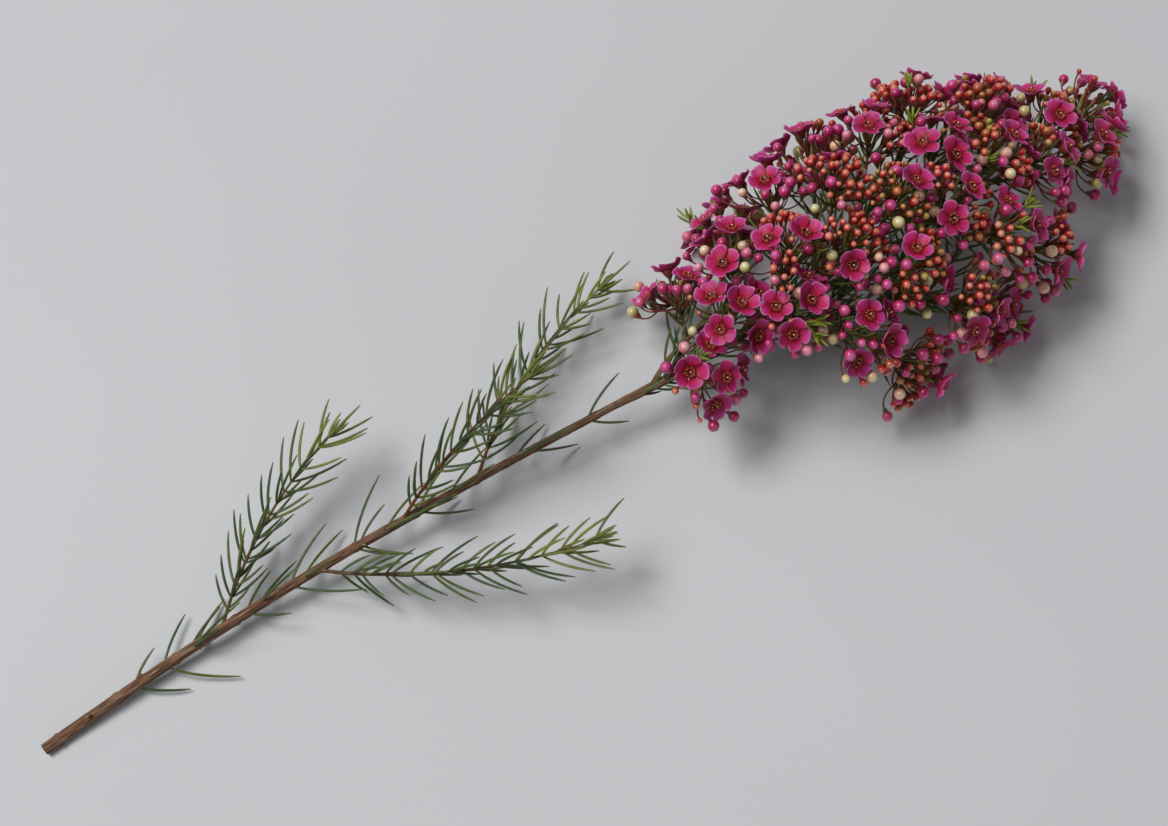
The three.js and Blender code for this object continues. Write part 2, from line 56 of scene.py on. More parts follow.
# %% Driving sizes
MM = 0.001  # metres in a millimetre
SEED = 9
ORIGIN = np.array([281.35, -7.61, 0.0])  # the middle of the model's box, counted from the cut end
STEM = {"length": 532, "cut_radius": 2.7, "top_radius": 1.0, "sides": 8}
STEM_LINE = {"sway": 8, "half_turns": 1.6, "phase": 0.7, "rise": 18, "risen_at": 0.82}
HEAD = {"start": 294, "end": 536, "radius": 61, "lowest": 0.08, "slices": 240}
OUTLINE = {"widest_at": 0.54, "swelling": 0.8, "closing": 1.4}
HEAD_HEIGHT = {"above": 0.9, "below": 0.5, "around": 108, "crowding": 1.5}
SPRAYS = 31
SPRAY = {"height": 26, "inset": 20, "base_radius": 0.95, "steps": 3, "top": 0.86, "bend": 0.45, "sway": 1.5}
SPRAY_BASE = {"least": 11, "first_turn": 0.27, "tip": 14, "more_tip": 56, "down": -0.05}
SIDE_BRANCH = {"reach": 1.8, "start": 14, "leave": 34, "radius": 1.35, "apart": 7.5, "later": 12}
TWIG = {"radii": [0.9, 0.85], "turn": 60, "best_turn": 36, "shortest": 18, "longest": 80, "most": 3}
BRANCH_STEPS = 12
SHOOTS = [(0.17, 62, 92), (0.26, -70, 118), (0.34, 20, 84), (0.41, 96, 104)]  # share, angle, length
SHOOT = {
    "radii": [0.95, 0.55], "bends": [(0, 0), (0.2, 0.2), (0.55, 0.42), (0.92, 0.5)], "upper_rise": 0.8,
    "lower_rise": 0.3}
BLOOM = {
    "radius": 7.9, "petals": 5, "cup_radius": 2.1, "calyx": 4.4, "rim": 0.6, "lift": 0.2, "reach": 0.98}
BUD = {"fine": 1.5, "fine_most": 2.2, "fat": 2.3, "fat_most": 2.85, "calyx": 2.3, "fat_from": 0.5}
SLOT = {
    "width": 17.5, "blooms": 0.84, "young": 0.2, "young_blooms": 0.35, "fifth": 0.25, "above": 3,
    "below": 4.5, "tilt": 34}
BUNCH = {"least": 8, "more": 5, "apart": 2.75, "rise": 2.5, "dome": 0.05, "splay": 0.07}
STALK_RADIUS = 0.52
LONG_STALK = 9
NEEDLE_RADIUS = 0.52
FOLIAGE = {  # from and to as shares of the limb, the step between pairs, the shortest and longest needle
    "stem": (0.1, 0.46, 15, 24, 34),
    "shoot": (0.12, 0.97, 9, 16, 27),
    "branch": (0.25, 0.9, 13, 13, 24),
    "spray": (0.05, 0.5, 9, 9, 16),
}
CLEAR = {"heads": 0.25, "nodes": 0.7}
PRESSED = 0.35

# %% [markdown]
# ## Draws, directions and curves
# A plant is irregular, but the lesson has to grow the same plant every time. So each limb has its own
# seeded stream of draws. Directions are unit vectors, and every twig and stalk is a Bezier curve.

# %% Small helpers of growth
UP = np.array([0.0, 0.0, 1.0])
AHEAD = np.array([1.0, 0.0, 0.0])
GOLDEN_ANGLE = 2.39996  # spreads things evenly round a middle, in radians
GOLDEN_SHARE = 0.6180339887  # does the same along a line from 0 to 1
STREAMS = {  # what is added to the seed for each kind of draw
    "stalks": 100, "heads": 200, "ripeness": 300, "needles": 400, "flush": 600, "more_needles": 700,
    "sprigs": 800}


def stream(seed):
    """A repeatable stream of draws: the state times 1664525 plus 1013904223, kept to 32 bits."""
    state = (seed * 2654435761) % 2**32

    def draw(low, high):
        nonlocal state
        state = (state * 1664525 + 1013904223) % 2**32
        return low + (high - low) * state / 2**32

    return draw


def length_of(v):
    """The root of the sum of the squares of the last axis."""
    return np.sqrt((v * v).sum(-1))


def unit(v):
    """A vector divided by its length."""
    return v / length_of(v)[..., None]


def across(n):
    """Two unit vectors square to n and to each other: guide x n, and n x that."""
    guide = np.where(np.abs(n[..., 2:]) < 0.9, UP, AHEAD)
    first = unit(np.cross(guide, n))
    return first, np.cross(n, first)


def round_about(cross, angle):
    """cos(angle) of the first cross direction plus sin(angle) of the second."""
    angle = np.asarray(angle)[..., None]
    return cross[0] * np.cos(angle) + cross[1] * np.sin(angle)


def leaned(ahead, out, angle):
    """The direction ahead turned towards out: cos(angle) * ahead plus sin(angle) * out."""
    return ahead * math.cos(angle) + out * math.sin(angle)


def angle_between(a, b):
    """The arc cosine of the cosine between a and b, in radians."""
    cosine = (a * b).sum(-1) / (length_of(a) * length_of(b))
    return np.arccos(np.clip(cosine, -1, 1))


def bezier(controls, shares):
    """The sum over the control points of binomial * (1 - t)^(last - i) * t^i * control."""
    controls = np.asarray(controls)
    t = np.asarray(shares, float)[:, None]
    last = controls.shape[-2] - 1
    made = 0
    for i in range(last + 1):
        made = made + math.comb(last, i) * (1 - t) ** (last - i) * t**i * controls[..., i, None, :]
    return made


def sampled(controls, steps):
    """Points at even shares of a Bezier curve."""
    return bezier(controls, np.arange(steps + 1) / steps)


def with_middles(corners):
    """The corners of a line and the middles of its chords."""
    made = np.empty((2 * len(corners) - 1, 3))
    made[::2] = corners
    made[1::2] = (corners[1:] + corners[:-1]) / 2
    return made


# %% [markdown]
# ## What is already in place
# Blooms in a head jostle for room but never run through each other. Every stalk, needle, bud and petal
# leaves capsules behind, which are line segments with a radius, and the next one keeps clear of them. The
# test runs over all capsules near by at once.

# %% Capsules and the test for room
CAPSULE = np.dtype([
    ("a", float, 3), ("b", float, 3), ("radius", float), ("low", float, 3), ("high", float, 3),
    ("node", "U16"), ("organ", int), ("head", bool)])
placed = np.zeros(0, CAPSULE)


def capsules(a, b, radius, node, organ, head=False):
    """Rows of capsules from the points a to the points b, with their boxes."""
    made = np.zeros(len(a), CAPSULE)
    made["a"], made["b"], made["radius"] = a, b, radius
    made["low"] = np.minimum(a, b) - made["radius"][:, None]
    made["high"] = np.maximum(a, b) + made["radius"][:, None]
    made["node"], made["organ"], made["head"] = node, organ, head
    return made


def along(points, radius, node, organ):
    """Capsules along a line of points."""
    return capsules(points[:-1], points[1:], radius, node, organ)


def keep(fresh):
    """Adds capsules to what is in place."""
    global placed
    placed = np.concatenate([placed, fresh])


def line_distance(p, q):
    """The least distance between two segments: the nearest shares s and t on them, held to 0 to 1."""
    d1, d2, r = p["b"] - p["a"], q["b"] - q["a"], p["a"] - q["a"]
    a = np.maximum((d1 * d1).sum(-1), 1e-12)
    e = np.maximum((d2 * d2).sum(-1), 1e-12)
    b, c, f = (d1 * d2).sum(-1), (d1 * r).sum(-1), (d2 * r).sum(-1)
    s = np.clip((b * f - c * e) / np.maximum(a * e - b * b, 1e-9), 0, 1)
    t = np.clip((b * s + f) / e, 0, 1)
    s = np.clip((b * t - c) / a, 0, 1)
    return length_of(p["a"] + d1 * s[..., None] - q["a"] - d2 * t[..., None])


def fits(fresh, seat):
    """True if fresh is above the surface and clear of all that is placed, apart from what it grows from."""
    if np.any(fresh["low"][:, 2] < np.where(fresh["head"], -2 * PRESSED, 0)):
        return False
    low = fresh["low"].min(0) - CLEAR["nodes"]
    high = fresh["high"].max(0) + CLEAR["nodes"]
    near = placed[((placed["low"] <= high) & (placed["high"] >= low)).all(-1)][None, :]
    new = fresh[:, None]
    same = new["node"] == near["node"]
    a_head = new["head"] | near["head"]
    may_meet = same & ((new["organ"] == near["organ"]) | ~a_head)
    may_meet |= (near["node"] == seat) & ~a_head
    apart = new["radius"] + near["radius"] + np.where(same, CLEAR["heads"], CLEAR["nodes"])
    return bool(np.all(may_meet | (line_distance(new, near) >= apart)))


# %% [markdown]
# ## The woody axis
# On the real stem the axis is the oldest wood: thickest at the cut and drawn out to a thin tip, with a
# slight sway. It leaves the surface where the head's width lifts it.

# %% The line of the axis


def stem_point(u):
    """At share u: along X by the length, a sine sway along Y, and a quarter sine rise along Z."""
    u = np.asarray(u, float)
    lift = np.sin(math.pi / 2 * np.minimum(1, u / STEM_LINE["risen_at"]))
    seat = STEM["cut_radius"] * math.cos(math.pi / STEM["sides"]) - PRESSED
    sway = STEM_LINE["sway"] * np.sin(STEM_LINE["half_turns"] * math.pi * u + STEM_LINE["phase"])
    return np.stack([STEM["length"] * u, sway, seat + STEM_LINE["rise"] * lift], -1)


def stem_heading(u):
    """The unit difference of the axis a little after and before share u."""
    return unit(stem_point(u + 0.002) - stem_point(u - 0.002))


def stem_radius(u):
    """A straight taper from the cut to the tip."""
    return (1 - u) * STEM["cut_radius"] + u * STEM["top_radius"]


def stem_share(x):
    """Where on the axis x lies, as a share held to 0 to 1."""
    return min(1, max(0, x / STEM["length"]))


STEM_STEPS = 60
stem_line = stem_point(np.arange(STEM_STEPS + 1) / STEM_STEPS)
keep(along(stem_line, stem_radius(np.arange(STEM_STEPS) / STEM_STEPS), "woody_stem", -1))
print("axis from", stem_line[0].round(1), "to", stem_line[-1].round(1))

# %% [markdown]
# ## Side branches, twigs and shoots
# The head's outline swells from the first side branch to its widest place and closes at the tip. Sprays are
# spread evenly over it by the golden ratio. Each gets a twig from a side branch that passes near, or else a
# side branch of its own from the axis, bowed out of the way of what is there.

# %% Where the sprays face


def outline(t):
    """The head's radius as a share of the largest: a sine rise to the widest place, then a cosine fall."""
    w = OUTLINE["widest_at"]
    if t < w:
        return math.sin(math.pi / 2 * (t / w) ** OUTLINE["swelling"])
    return math.cos(math.pi / 2 * ((t - w) / (1 - w)) ** OUTLINE["closing"])


def head_share(step):
    """How far along the head a slice of it lies."""
    return HEAD["lowest"] + (1 - HEAD["lowest"]) * step / HEAD["slices"]


def spray_bases():
    """Each spray's foot on the axis, its base near the head's outline, and the way it faces. The feet share
    the outline's area evenly, and the golden share turns each spray about the axis, mostly upwards."""
    steps = HEAD["slices"]
    area = [0.0]
    for i in range(steps):
        area.append(area[i] + outline(head_share(i + 0.5)) + 0.1)
    bases = []
    for k in range(SPRAYS - 1):
        wanted = area[steps] * (k + 0.5) / (SPRAYS - 0.4)
        t = head_share(int(np.searchsorted(area, wanted, side="right")))
        away = 2 * ((SPRAY_BASE["first_turn"] + k * GOLDEN_SHARE) % 1) - 1
        crowded = math.copysign(abs(away) ** HEAD_HEIGHT["crowding"], away)
        around = math.radians(HEAD_HEIGHT["around"]) * crowded
        reach = max(SPRAY_BASE["least"], HEAD["radius"] * outline(t) - SPRAY["inset"])
        up = math.cos(around)
        foot = stem_point(stem_share((1 - t) * HEAD["start"] + t * HEAD["end"]))
        height = HEAD_HEIGHT["above"] if up > 0 else HEAD_HEIGHT["below"]
        base = foot + reach * np.array([0, math.sin(around), up * height])
        base[2] = max(base[2], SPRAY_BASE["least"])
        tip = math.radians(SPRAY_BASE["tip"] + SPRAY_BASE["more_tip"] * t * t)
        facing = np.array([math.sin(tip), math.sin(around) * math.cos(tip), up * math.cos(tip)])
        facing[2] = max(facing[2], SPRAY_BASE["down"])
        bases.append({"reach": reach, "foot": foot, "base": base, "facing": unit(facing), "k": k})
    return bases


# %% The ways to reach a spray
BOWS = [0, 5, -5, 10, -10, 16, -16]  # millimetres sideways, tried in turn
BOWED = {"leave": 0.38, "arrive": 0.3, "late": 0.6}
TWIG_POINTS = range(3, 10)  # the points of a side branch that a twig may leave
branches = []
sprays = []


def bowed(a, out, b, facing, bow):
    """Control points from a, leaving along out, to b, arriving along facing, bowed sideways."""
    span = length_of(b - a)
    side = across(unit(b - a))[0]
    near_a = a + BOWED["leave"] * span * out + bow * side
    return np.array([a, near_a, b - BOWED["arrive"] * span * facing + BOWED["late"] * bow * side, b])


def twig_starts(spot, hosts):
    """Places on side branches from which a twig can reach the spot, the shortest and best turned first."""
    starts = []
    for host in (h for h in hosts if h["carries"] < TWIG["most"]):
        for i in TWIG_POINTS:
            from_ = host["points"][i]
            out = unit(host["points"][i + 1] - from_)
            turn = math.degrees(angle_between(out, spot["base"] - from_))
            span = float(length_of(spot["base"] - from_))
            if turn <= TWIG["turn"] and TWIG["shortest"] <= span <= TWIG["longest"]:
                start = {"host": host, "from": from_, "out": out, "radii": TWIG["radii"]}
                starts.append({**start, "cost": span + 0.5 * abs(turn - TWIG["best_turn"])})
    return sorted(starts, key=lambda start: start["cost"])


def branch_start(spot, x):
    """A start on the axis at x, leaving it at the angle of a side branch, towards the spot."""
    u = stem_share(x)
    from_, heading = stem_point(u), stem_heading(u)
    away = spot["base"] - from_
    away = unit(away - (away @ heading) * heading)
    out = leaned(heading, away, math.radians(SIDE_BRANCH["leave"]))
    return {"host": None, "from": from_, "out": out, "radii": [SIDE_BRANCH["radius"], TWIG["radii"][0]]}


def add_branch(name, controls, radii, kind):
    """Puts a branch, twig or shoot in place."""
    points = sampled(controls, BRANCH_STEPS)
    keep(along(points, max(radii), name, -1))
    branches.append({
        "name": name, "controls": controls, "radii": radii, "points": points, "kind": kind, "carries": 1})
    return branches[-1]


def first_way(spot, starts, new_name):
    """The first start and bow whose curve has room, with its name and control points, or None."""
    for start in starts:
        name = start["host"]["name"] if start["host"] else new_name
        for bow in BOWS:
            controls = bowed(start["from"], start["out"], spot["base"], spot["facing"], bow)
            fresh = along(sampled(controls, BRANCH_STEPS), max(start["radii"]), name, -1)
            if fits(fresh, name if start["host"] else "woody_stem"):
                return {**start, "name": name, "controls": controls}
    return None


def plan_branches():
    """Gives each spray's base a twig or a side branch, and the topmost spray the axis itself."""
    hosts = []
    last = 0
    for spot in spray_bases():
        soonest = spot["foot"][0] - SIDE_BRANCH["reach"] * spot["reach"] - SIDE_BRANCH["start"]
        x = max(soonest, last + SIDE_BRANCH["apart"])
        own = [branch_start(spot, at) for at in (x, x + SIDE_BRANCH["later"])]
        found = first_way(spot, twig_starts(spot, hosts) + own, f"side_branch_{len(hosts) + 1:02d}")
        if found is None:
            continue
        made = add_branch(found["name"], found["controls"], found["radii"], "branch")
        if found["host"]:
            found["host"]["carries"] += 1
        else:
            hosts.append(made)
            last = found["from"][0]
        sprays.append({**spot, "seat": found["name"]})
    tip = {"base": stem_point(1), "facing": stem_heading(1), "k": SPRAYS - 1, "seat": "woody_stem"}
    sprays.append(tip)


def plan_shoots():
    """The leafy shoots low on the axis: each leaves it and curves up along it. Those on its upper side rise
    more."""
    for i, (share, angle, length) in enumerate(SHOOTS):
        root, heading, around = stem_point(share), stem_heading(share), math.radians(angle)
        rise = math.cos(around) * (SHOOT["upper_rise"] if abs(angle) < 90 else SHOOT["lower_rise"])
        away = unit(np.array([0, math.sin(around), rise]))
        controls = np.array([root + length * (a * heading + b * away) for a, b in SHOOT["bends"]])
        add_branch(f"leafy_shoot_{i + 1:02d}", controls, SHOOT["radii"], "shoot")


plan_branches()
plan_shoots()
print("side branches, twigs and shoots:", len(branches), "- sprays:", len(sprays))

# %% [markdown]
# ## Blooms and buds on their stalks
# A spray is a middle stalk that ends in an open umbel. It has a place in the middle and a ring of places
# round it. Each place holds a bloom, or where the spray is young, a domed bunch of fine buds, and fat buds
# stand between. Each head looks for room near its place, then sends its stalk back to the nearest stalk
# that heads its way.

# %% The middle stalks


def plan_stalks():
    """The stalk in the middle of each spray goes on from its branch along the way the spray faces."""
    for i, spray in enumerate(sprays):
        spray["name"] = f"spray_{i + 1:02d}"
        draw = stream(SEED + STREAMS["stalks"] + spray["k"])
        base, facing = spray["base"], spray["facing"]
        spray["cross"] = across(facing)
        sway = round_about(spray["cross"], draw(0, 2 * math.pi))
        end = base + SPRAY["top"] * SPRAY["height"] * facing + SPRAY["sway"] * sway
        spray["axis"] = np.array([base, base + SPRAY["bend"] * SPRAY["height"] * facing, end])
        points = with_middles(sampled(spray["axis"], SPRAY["steps"]))
        spray["springs"] = {"from": points[1:-1], "next": points[2:]}
        keep(along(sampled(spray["axis"], 4), SPRAY["base_radius"], spray["name"], -1))


# %% One head and its stalk
organs = []
SHIFTS = [(0, 0, 0)]  # where a head looks for room, in shares of its size: across it twice, and along it
for far in (0.45, 0.9, 1.4):
    for i in range(6):
        angle = math.pi / 3 * i
        SHIFTS.append((far * math.cos(angle), far * math.sin(angle), (0.35 if i % 2 else -0.35) * far))
PETAL_BALL = {"out": 0.57, "up": 0.9, "radius": 0.44}  # a ball that stands for a petal in the test for room
CUP_ROOM = {"deep": 3, "wider": 0.2}
SPRING = {"sharpest": 1.2, "nearest": 5, "best_turn": 0.5, "turn_cost": 8}  # turns are in radians
AIM_BACK = 0.3  # how far behind a head its stalk aims, as a share of the way to the spray's base
BEND_BACK = 0.4  # how far behind a head its stalk bends, as a share of the stalk's span


def head_capsules(organ, number):
    """The capsules of one head: its stalk, and the ball of a bud or the cup and petals of a bloom."""
    at, axis, size, node = organ["at"], organ["axis"], organ["size"], organ["node"]
    stalk = along(sampled(organ["path"], 3), STALK_RADIUS, node, number)
    if organ["kind"] == "bud":
        return np.concatenate([stalk, capsules(at[None], at[None], size, node, number, True)])
    turn = 2 * math.pi * np.arange(BLOOM["petals"]) / BLOOM["petals"]
    out = round_about(across(axis), organ["twist"] + turn)
    middles = at + PETAL_BALL["out"] * size * out + PETAL_BALL["up"] * axis
    petals = capsules(middles, middles, PETAL_BALL["radius"] * size, node, number, True)
    wide = BLOOM["cup_radius"] + CUP_ROOM["wider"]
    cup = capsules((at - CUP_ROOM["deep"] * axis)[None], at[None], wide, node, number, True)
    return np.concatenate([stalk, cup, petals])


def least_height(kind, axis, size):
    """The least height of a head's middle over the surface, with its edge pressed flat on it."""
    if kind == "bud":
        return size - PRESSED
    slope = math.sqrt(1 - axis[2] ** 2)
    rim = BLOOM["lift"] * size - (BLOOM["rim"] if axis[2] > 0 else 0)
    edge = BLOOM["reach"] * size * slope - rim * axis[2] - PRESSED
    return max(edge, BLOOM["calyx"] * axis[2] + BLOOM["cup_radius"] * slope)


def stalk_line(path):
    """The corners of a stalk: a long one has a bend in the middle."""
    return sampled(path, 1 if length_of(path[2] - path[0]) < LONG_STALK else 2)


def spring_from(spray, foot, knee):
    """The nearest point of the spray's stalks from which the way to the knee goes on as the stalk does."""
    springs = spray["springs"]
    turn = angle_between(springs["next"] - springs["from"], knee - springs["from"])
    span = length_of(springs["from"] - foot)
    cost = span + SPRING["turn_cost"] * np.abs(turn - SPRING["best_turn"])
    cost = np.where((turn < SPRING["sharpest"]) & (span > SPRING["nearest"]), cost, np.inf)
    return springs["from"][int(np.argmin(cost)) if np.isfinite(cost).any() else 1]


def place(spray, kind, spot, axis, size, twist, ripe):
    """Places a head as near as it fits to its spot, and grows its stalk."""
    c1, c2 = across(axis)
    calyx = BLOOM["calyx"] if kind == "bloom" else size + BUD["calyx"]
    organ = {"kind": kind, "axis": axis, "size": size, "twist": twist, "node": spray["name"], "ripe": ripe}
    for right, front, up in SHIFTS:
        at = spot + size * (right * c1 + front * c2 + up * axis)
        at[2] = max(at[2], least_height(kind, axis, size))
        foot = at - calyx * axis
        start = spring_from(spray, foot, foot - AIM_BACK * length_of(foot - spray["base"]) * axis)
        path = np.array([start, foot - BEND_BACK * length_of(foot - start) * axis, foot])
        organ.update(at=at, path=path)
        fresh = head_capsules(organ, len(organs))
        if fits(fresh, spray["seat"]):
            keep(fresh)
            organs.append(organ)
            points = with_middles(stalk_line(path))
            for key, grown in (("from", points[1:-1]), ("next", points[2:])):
                spray["springs"][key] = np.concatenate([spray["springs"][key], grown])
            return


# %% [markdown]
# Waxflower buds ripen in step within a bunch. Fine buds are tight, terracotta to orange with paler tops,
# and a few are still yellow-green. Fat buds show the petal colour, from cream through pink to magenta. A
# second stream draws how ripe each bud is, so that the places stay those of the solids.

# %% The heads of a spray


def slots_of(spray, draw):
    """A place in the middle of the spray and four or five round it, tilted out."""
    base, facing, cross = spray["base"], spray["facing"], spray["cross"]
    ringed = 5 if draw(0, 1) < SLOT["fifth"] else 4
    turn = draw(0, 2 * math.pi)
    slots = [{"at": base + (SPRAY["height"] + SLOT["above"]) * facing, "axis": facing}]
    for i in range(ringed):
        out = round_about(cross, turn + 2 * math.pi * (i + draw(-0.12, 0.12)) / ringed)
        reach = SLOT["width"] / 2 / math.sin(math.pi / ringed) + draw(-1, 1.5)
        tilt = math.radians(SLOT["tilt"] + draw(-12, 12))
        at = base + (SPRAY["height"] - SLOT["below"] + draw(-3, 3)) * facing + reach * out
        slots.append({"at": at, "axis": leaned(facing, out, tilt)})
    return slots


def plan_bunch(spray, slot, draw, ripeness):
    """A dome of fine buds over one place, by the golden angle from its middle."""
    cross = across(slot["axis"])
    bunch = ripeness(0.03, 0.36)
    for i in range(BUNCH["least"] + math.floor(draw(0, BUNCH["more"]))):
        reach = BUNCH["apart"] * math.sqrt(i)
        out = round_about(cross, i * GOLDEN_ANGLE)
        rise = BUNCH["rise"] - BUNCH["dome"] * reach * reach
        faced = unit(slot["axis"] + BUNCH["splay"] * reach * out)
        share = draw(0, 1)
        size = (1 - share) * BUD["fine"] + share * BUD["fine_most"]
        ripe = min(0.45, bunch + ripeness(-0.1, 0.1) + 0.08 * share)
        place(spray, "bud", slot["at"] + reach * out + rise * slot["axis"], faced, size, 0, ripe)


def plan_fat_buds(spray, draw, ripeness):
    """Fat buds between the places, lower than the heads and turned further out."""
    base, facing, cross = spray["base"], spray["facing"], spray["cross"]
    buds = 4 + math.floor(draw(0, 3))
    turn = draw(0, 2 * math.pi)
    for i in range(buds):
        out = round_about(cross, turn + 2 * math.pi * (i + draw(-0.15, 0.15)) / buds)
        tilt = math.radians(draw(20, 50))
        at = base + (SPRAY["height"] - draw(0, 6)) * facing + draw(8, 21) * out
        size = draw(BUD["fat"], BUD["fat_most"])
        place(spray, "bud", at, leaned(facing, out, tilt), size, 0, ripeness(BUD["fat_from"], 1))


def plan_heads():
    """Fills the places of every spray: blooms first, then bunches, then the fat buds."""
    for spray in sprays:
        draw = stream(SEED + STREAMS["heads"] + spray["k"])
        ripeness = stream(SEED + STREAMS["ripeness"] + spray["k"])
        blooms = SLOT["young_blooms"] if draw(0, 1) < SLOT["young"] else SLOT["blooms"]
        slots = slots_of(spray, draw)
        for slot in slots:
            slot["open"] = draw(0, 1) < blooms
        for slot in (s for s in slots if s["open"]):
            size = BLOOM["radius"] * draw(0.9, 1.05)
            place(spray, "bloom", slot["at"], slot["axis"], size, draw(0, 2 * math.pi), ripeness(0, 1))
        for slot in (s for s in slots if not s["open"]):
            plan_bunch(spray, slot, draw, ripeness)
        plan_fat_buds(spray, draw, ripeness)


def kinds():
    """How many organs there are of each kind."""
    return dict(Counter(organ["kind"] for organ in organs))


plan_stalks()
plan_heads()
print("heads:", kinds())

# %% [markdown]
# ## Needle leaves
# The leaves are needles in opposite pairs, each pair a quarter turn on from the last. They stand out from
# the stalk and bend back in towards its tip.

# %% Pairs of needles
TURNS = [0, 35, -35, 70, -70]  # degrees about the stalk, tried in turn
NEEDLE_KNEE = {"at": 0.42, "wider": 0.25}  # as a share of the length, and in radians


def needle_path(root, heading, out, length, open_):
    """From the root, through a knee that stands wider, to the tip at the opening angle."""
    wide = open_ + NEEDLE_KNEE["wider"]
    knee = root + NEEDLE_KNEE["at"] * length * leaned(heading, out, wide)
    tip = root + heading * (length * math.cos(open_)) + out * (length * math.sin(open_))
    return np.array([root, knee, tip])


def add_needle(node, path, share, limb):
    """Notes a needle: what it grows on, its path, how far along its limb it is, and the kind of limb."""
    organs.append({"kind": "needle", "node": node, "path": path, "share": share, "limb": limb})


def plan_needles(node, curve, seed, kind, foliage):
    """Pairs along a curve, each needle turned about the stalk until it has room."""
    draw = stream(seed)
    from_, to, step, shortest, longest = foliage[kind]
    line = curve(np.arange(25) / 24)
    pairs = math.floor((to - from_) * length_of(line[1:] - line[:-1]).sum() / step)
    for i in range(pairs):
        share = from_ + (to - from_) * (i + 0.5) / pairs
        root, ahead = curve(np.array([share, share + 0.02]))
        heading = unit(ahead - root)
        cross = across(heading)
        for half in (0, math.pi):
            first = (i % 2) * (math.pi / 2) + half + draw(-0.35, 0.35)
            length = draw(shortest, longest)
            open_ = math.radians(draw(26, 42))
            for turn in TURNS:
                out = round_about(cross, first + math.radians(turn))
                path = needle_path(root, heading, out, length, open_)
                fresh = along(sampled(path, 3), NEEDLE_RADIUS, node, len(organs))
                if fits(fresh, None):
                    keep(fresh)
                    add_needle(node, path, share, kind)
                    break


def plan_foliage(seed, foliage):
    """Needles on the axis, on every branch and shoot, and on the foot of each spray."""
    plan_needles("woody_stem", stem_point, seed, "stem", foliage)
    limbs = [(b["name"], b["controls"], seed + 1 + i, b["kind"]) for i, b in enumerate(branches)]
    limbs += [(s["name"], s["axis"], seed + 100 + i, "spray") for i, s in enumerate(sprays)]
    for name, controls, limb_seed, kind in limbs:
        plan_needles(name, partial(bezier, controls), limb_seed, kind, foliage)


plan_foliage(SEED + STREAMS["needles"], FOLIAGE)
print("with needles:", kinds(), "organs in all:", len(organs))

# %% [markdown]
# ## What the solids leave out
# Up to here each organ is one that the solids were planned with. A living head has more small things, which
# wait beside and under the blooms: fat buds that will open next on one side of each spray, and fine ones in
# their first colour on the other, with more needles between. Young shoots with lime tips grow past them.
# They take the room that is left, by the same test, and stay within the reach of the blooms.

# %% Buds and needles that only the fine surface has
FLUSH = {"places": 26, "spread": 4.3, "fine_side": 0.5, "dome": 0.014, "splay": 1.7}
TUFT = {"needles": 5, "longest": 12, "shorter": 1.6, "apart": 0.8, "open": 0.32}  # open in radians
MORE_FOLIAGE = {
    "stem": (0.06, 0.54, 26, 18, 30),
    "shoot": (0.08, 1.0, 5.5, 13, 25),
    "branch": (0.12, 0.98, 5, 9, 20),
    "spray": (0.05, 0.95, 4, 7, 14),
}
SPRIGS = 7  # young shoots tried on a spray
SPRIG = {"needles": 6, "least": 4, "apart": 1.2}


def plan_sprigs():
    """Young shoots that pass between the heads: a thin stalk, and at its end three close crossed pairs of
    needles, opened by 20 to 40 degrees. One is kept only where its stalk and most of its needles fit."""
    for spray in sprays:
        draw = stream(SEED + STREAMS["sprigs"] + spray["k"])
        base, facing, node = spray["base"], spray["facing"], spray["name"]
        for _ in range(SPRIGS):
            out = round_about(spray["cross"], draw(0, 2 * math.pi))
            tilt = math.radians(draw(10, 45))
            heading = leaned(facing, out, tilt)
            tip = base + (SPRAY["height"] - draw(-1, 5)) * facing + draw(5, 18) * out
            knee = tip - BEND_BACK * length_of(tip - base) * heading
            path = np.array([spring_from(spray, tip, knee), knee, tip])
            stalk = along(sampled(path, 3), STALK_RADIUS, node, len(organs))
            needles = []
            for j in range(SPRIG["needles"]):
                pair = j // 2
                away = round_about(across(heading), j * math.pi + pair * math.pi / 2 + draw(-0.3, 0.3))
                root = tip - SPRIG["apart"] * pair * heading
                line = needle_path(root, heading, away, draw(4.5, 8), draw(0.35, 0.7))
                fresh = along(sampled(line, 3), NEEDLE_RADIUS, node, len(organs))
                if fits(fresh, spray["seat"]):
                    needles.append((line, fresh))
            if len(needles) < SPRIG["least"] or not fits(stalk, spray["seat"]):
                continue
            keep(stalk)
            organs.append({"kind": "sprig", "node": node, "path": path})
            for line, fresh in needles:
                keep(fresh)
                add_needle(node, line, 1.0, "sprig")


def plan_flush():
    """Places on a dome over each spray, at spread * sqrt(i) from its middle by the golden angle."""
    for spray in sprays:
        draw = stream(SEED + STREAMS["flush"] + spray["k"])
        base, facing, cross = spray["base"], spray["facing"], spray["cross"]
        start = draw(0, 2 * math.pi)
        for i in range(FLUSH["places"]):
            reach = FLUSH["spread"] * math.sqrt(i + 0.5)
            out = round_about(cross, start + i * GOLDEN_ANGLE)
            rise = SPRAY["height"] - FLUSH["dome"] * reach * reach + draw(-5, 1)
            axis = leaned(facing, out, math.radians(FLUSH["splay"] * reach + draw(-10, 10)))
            size, ripe = draw(BUD["fat"] - 0.35, BUD["fat_most"]), draw(BUD["fat_from"], 1)
            if math.cos(i * GOLDEN_ANGLE) > FLUSH["fine_side"]:
                size, ripe = draw(BUD["fine"] - 0.3, BUD["fine_most"] - 0.2), draw(0.02, 0.4)
            place(spray, "bud", base + rise * facing + reach * out, axis, size, 0, ripe)


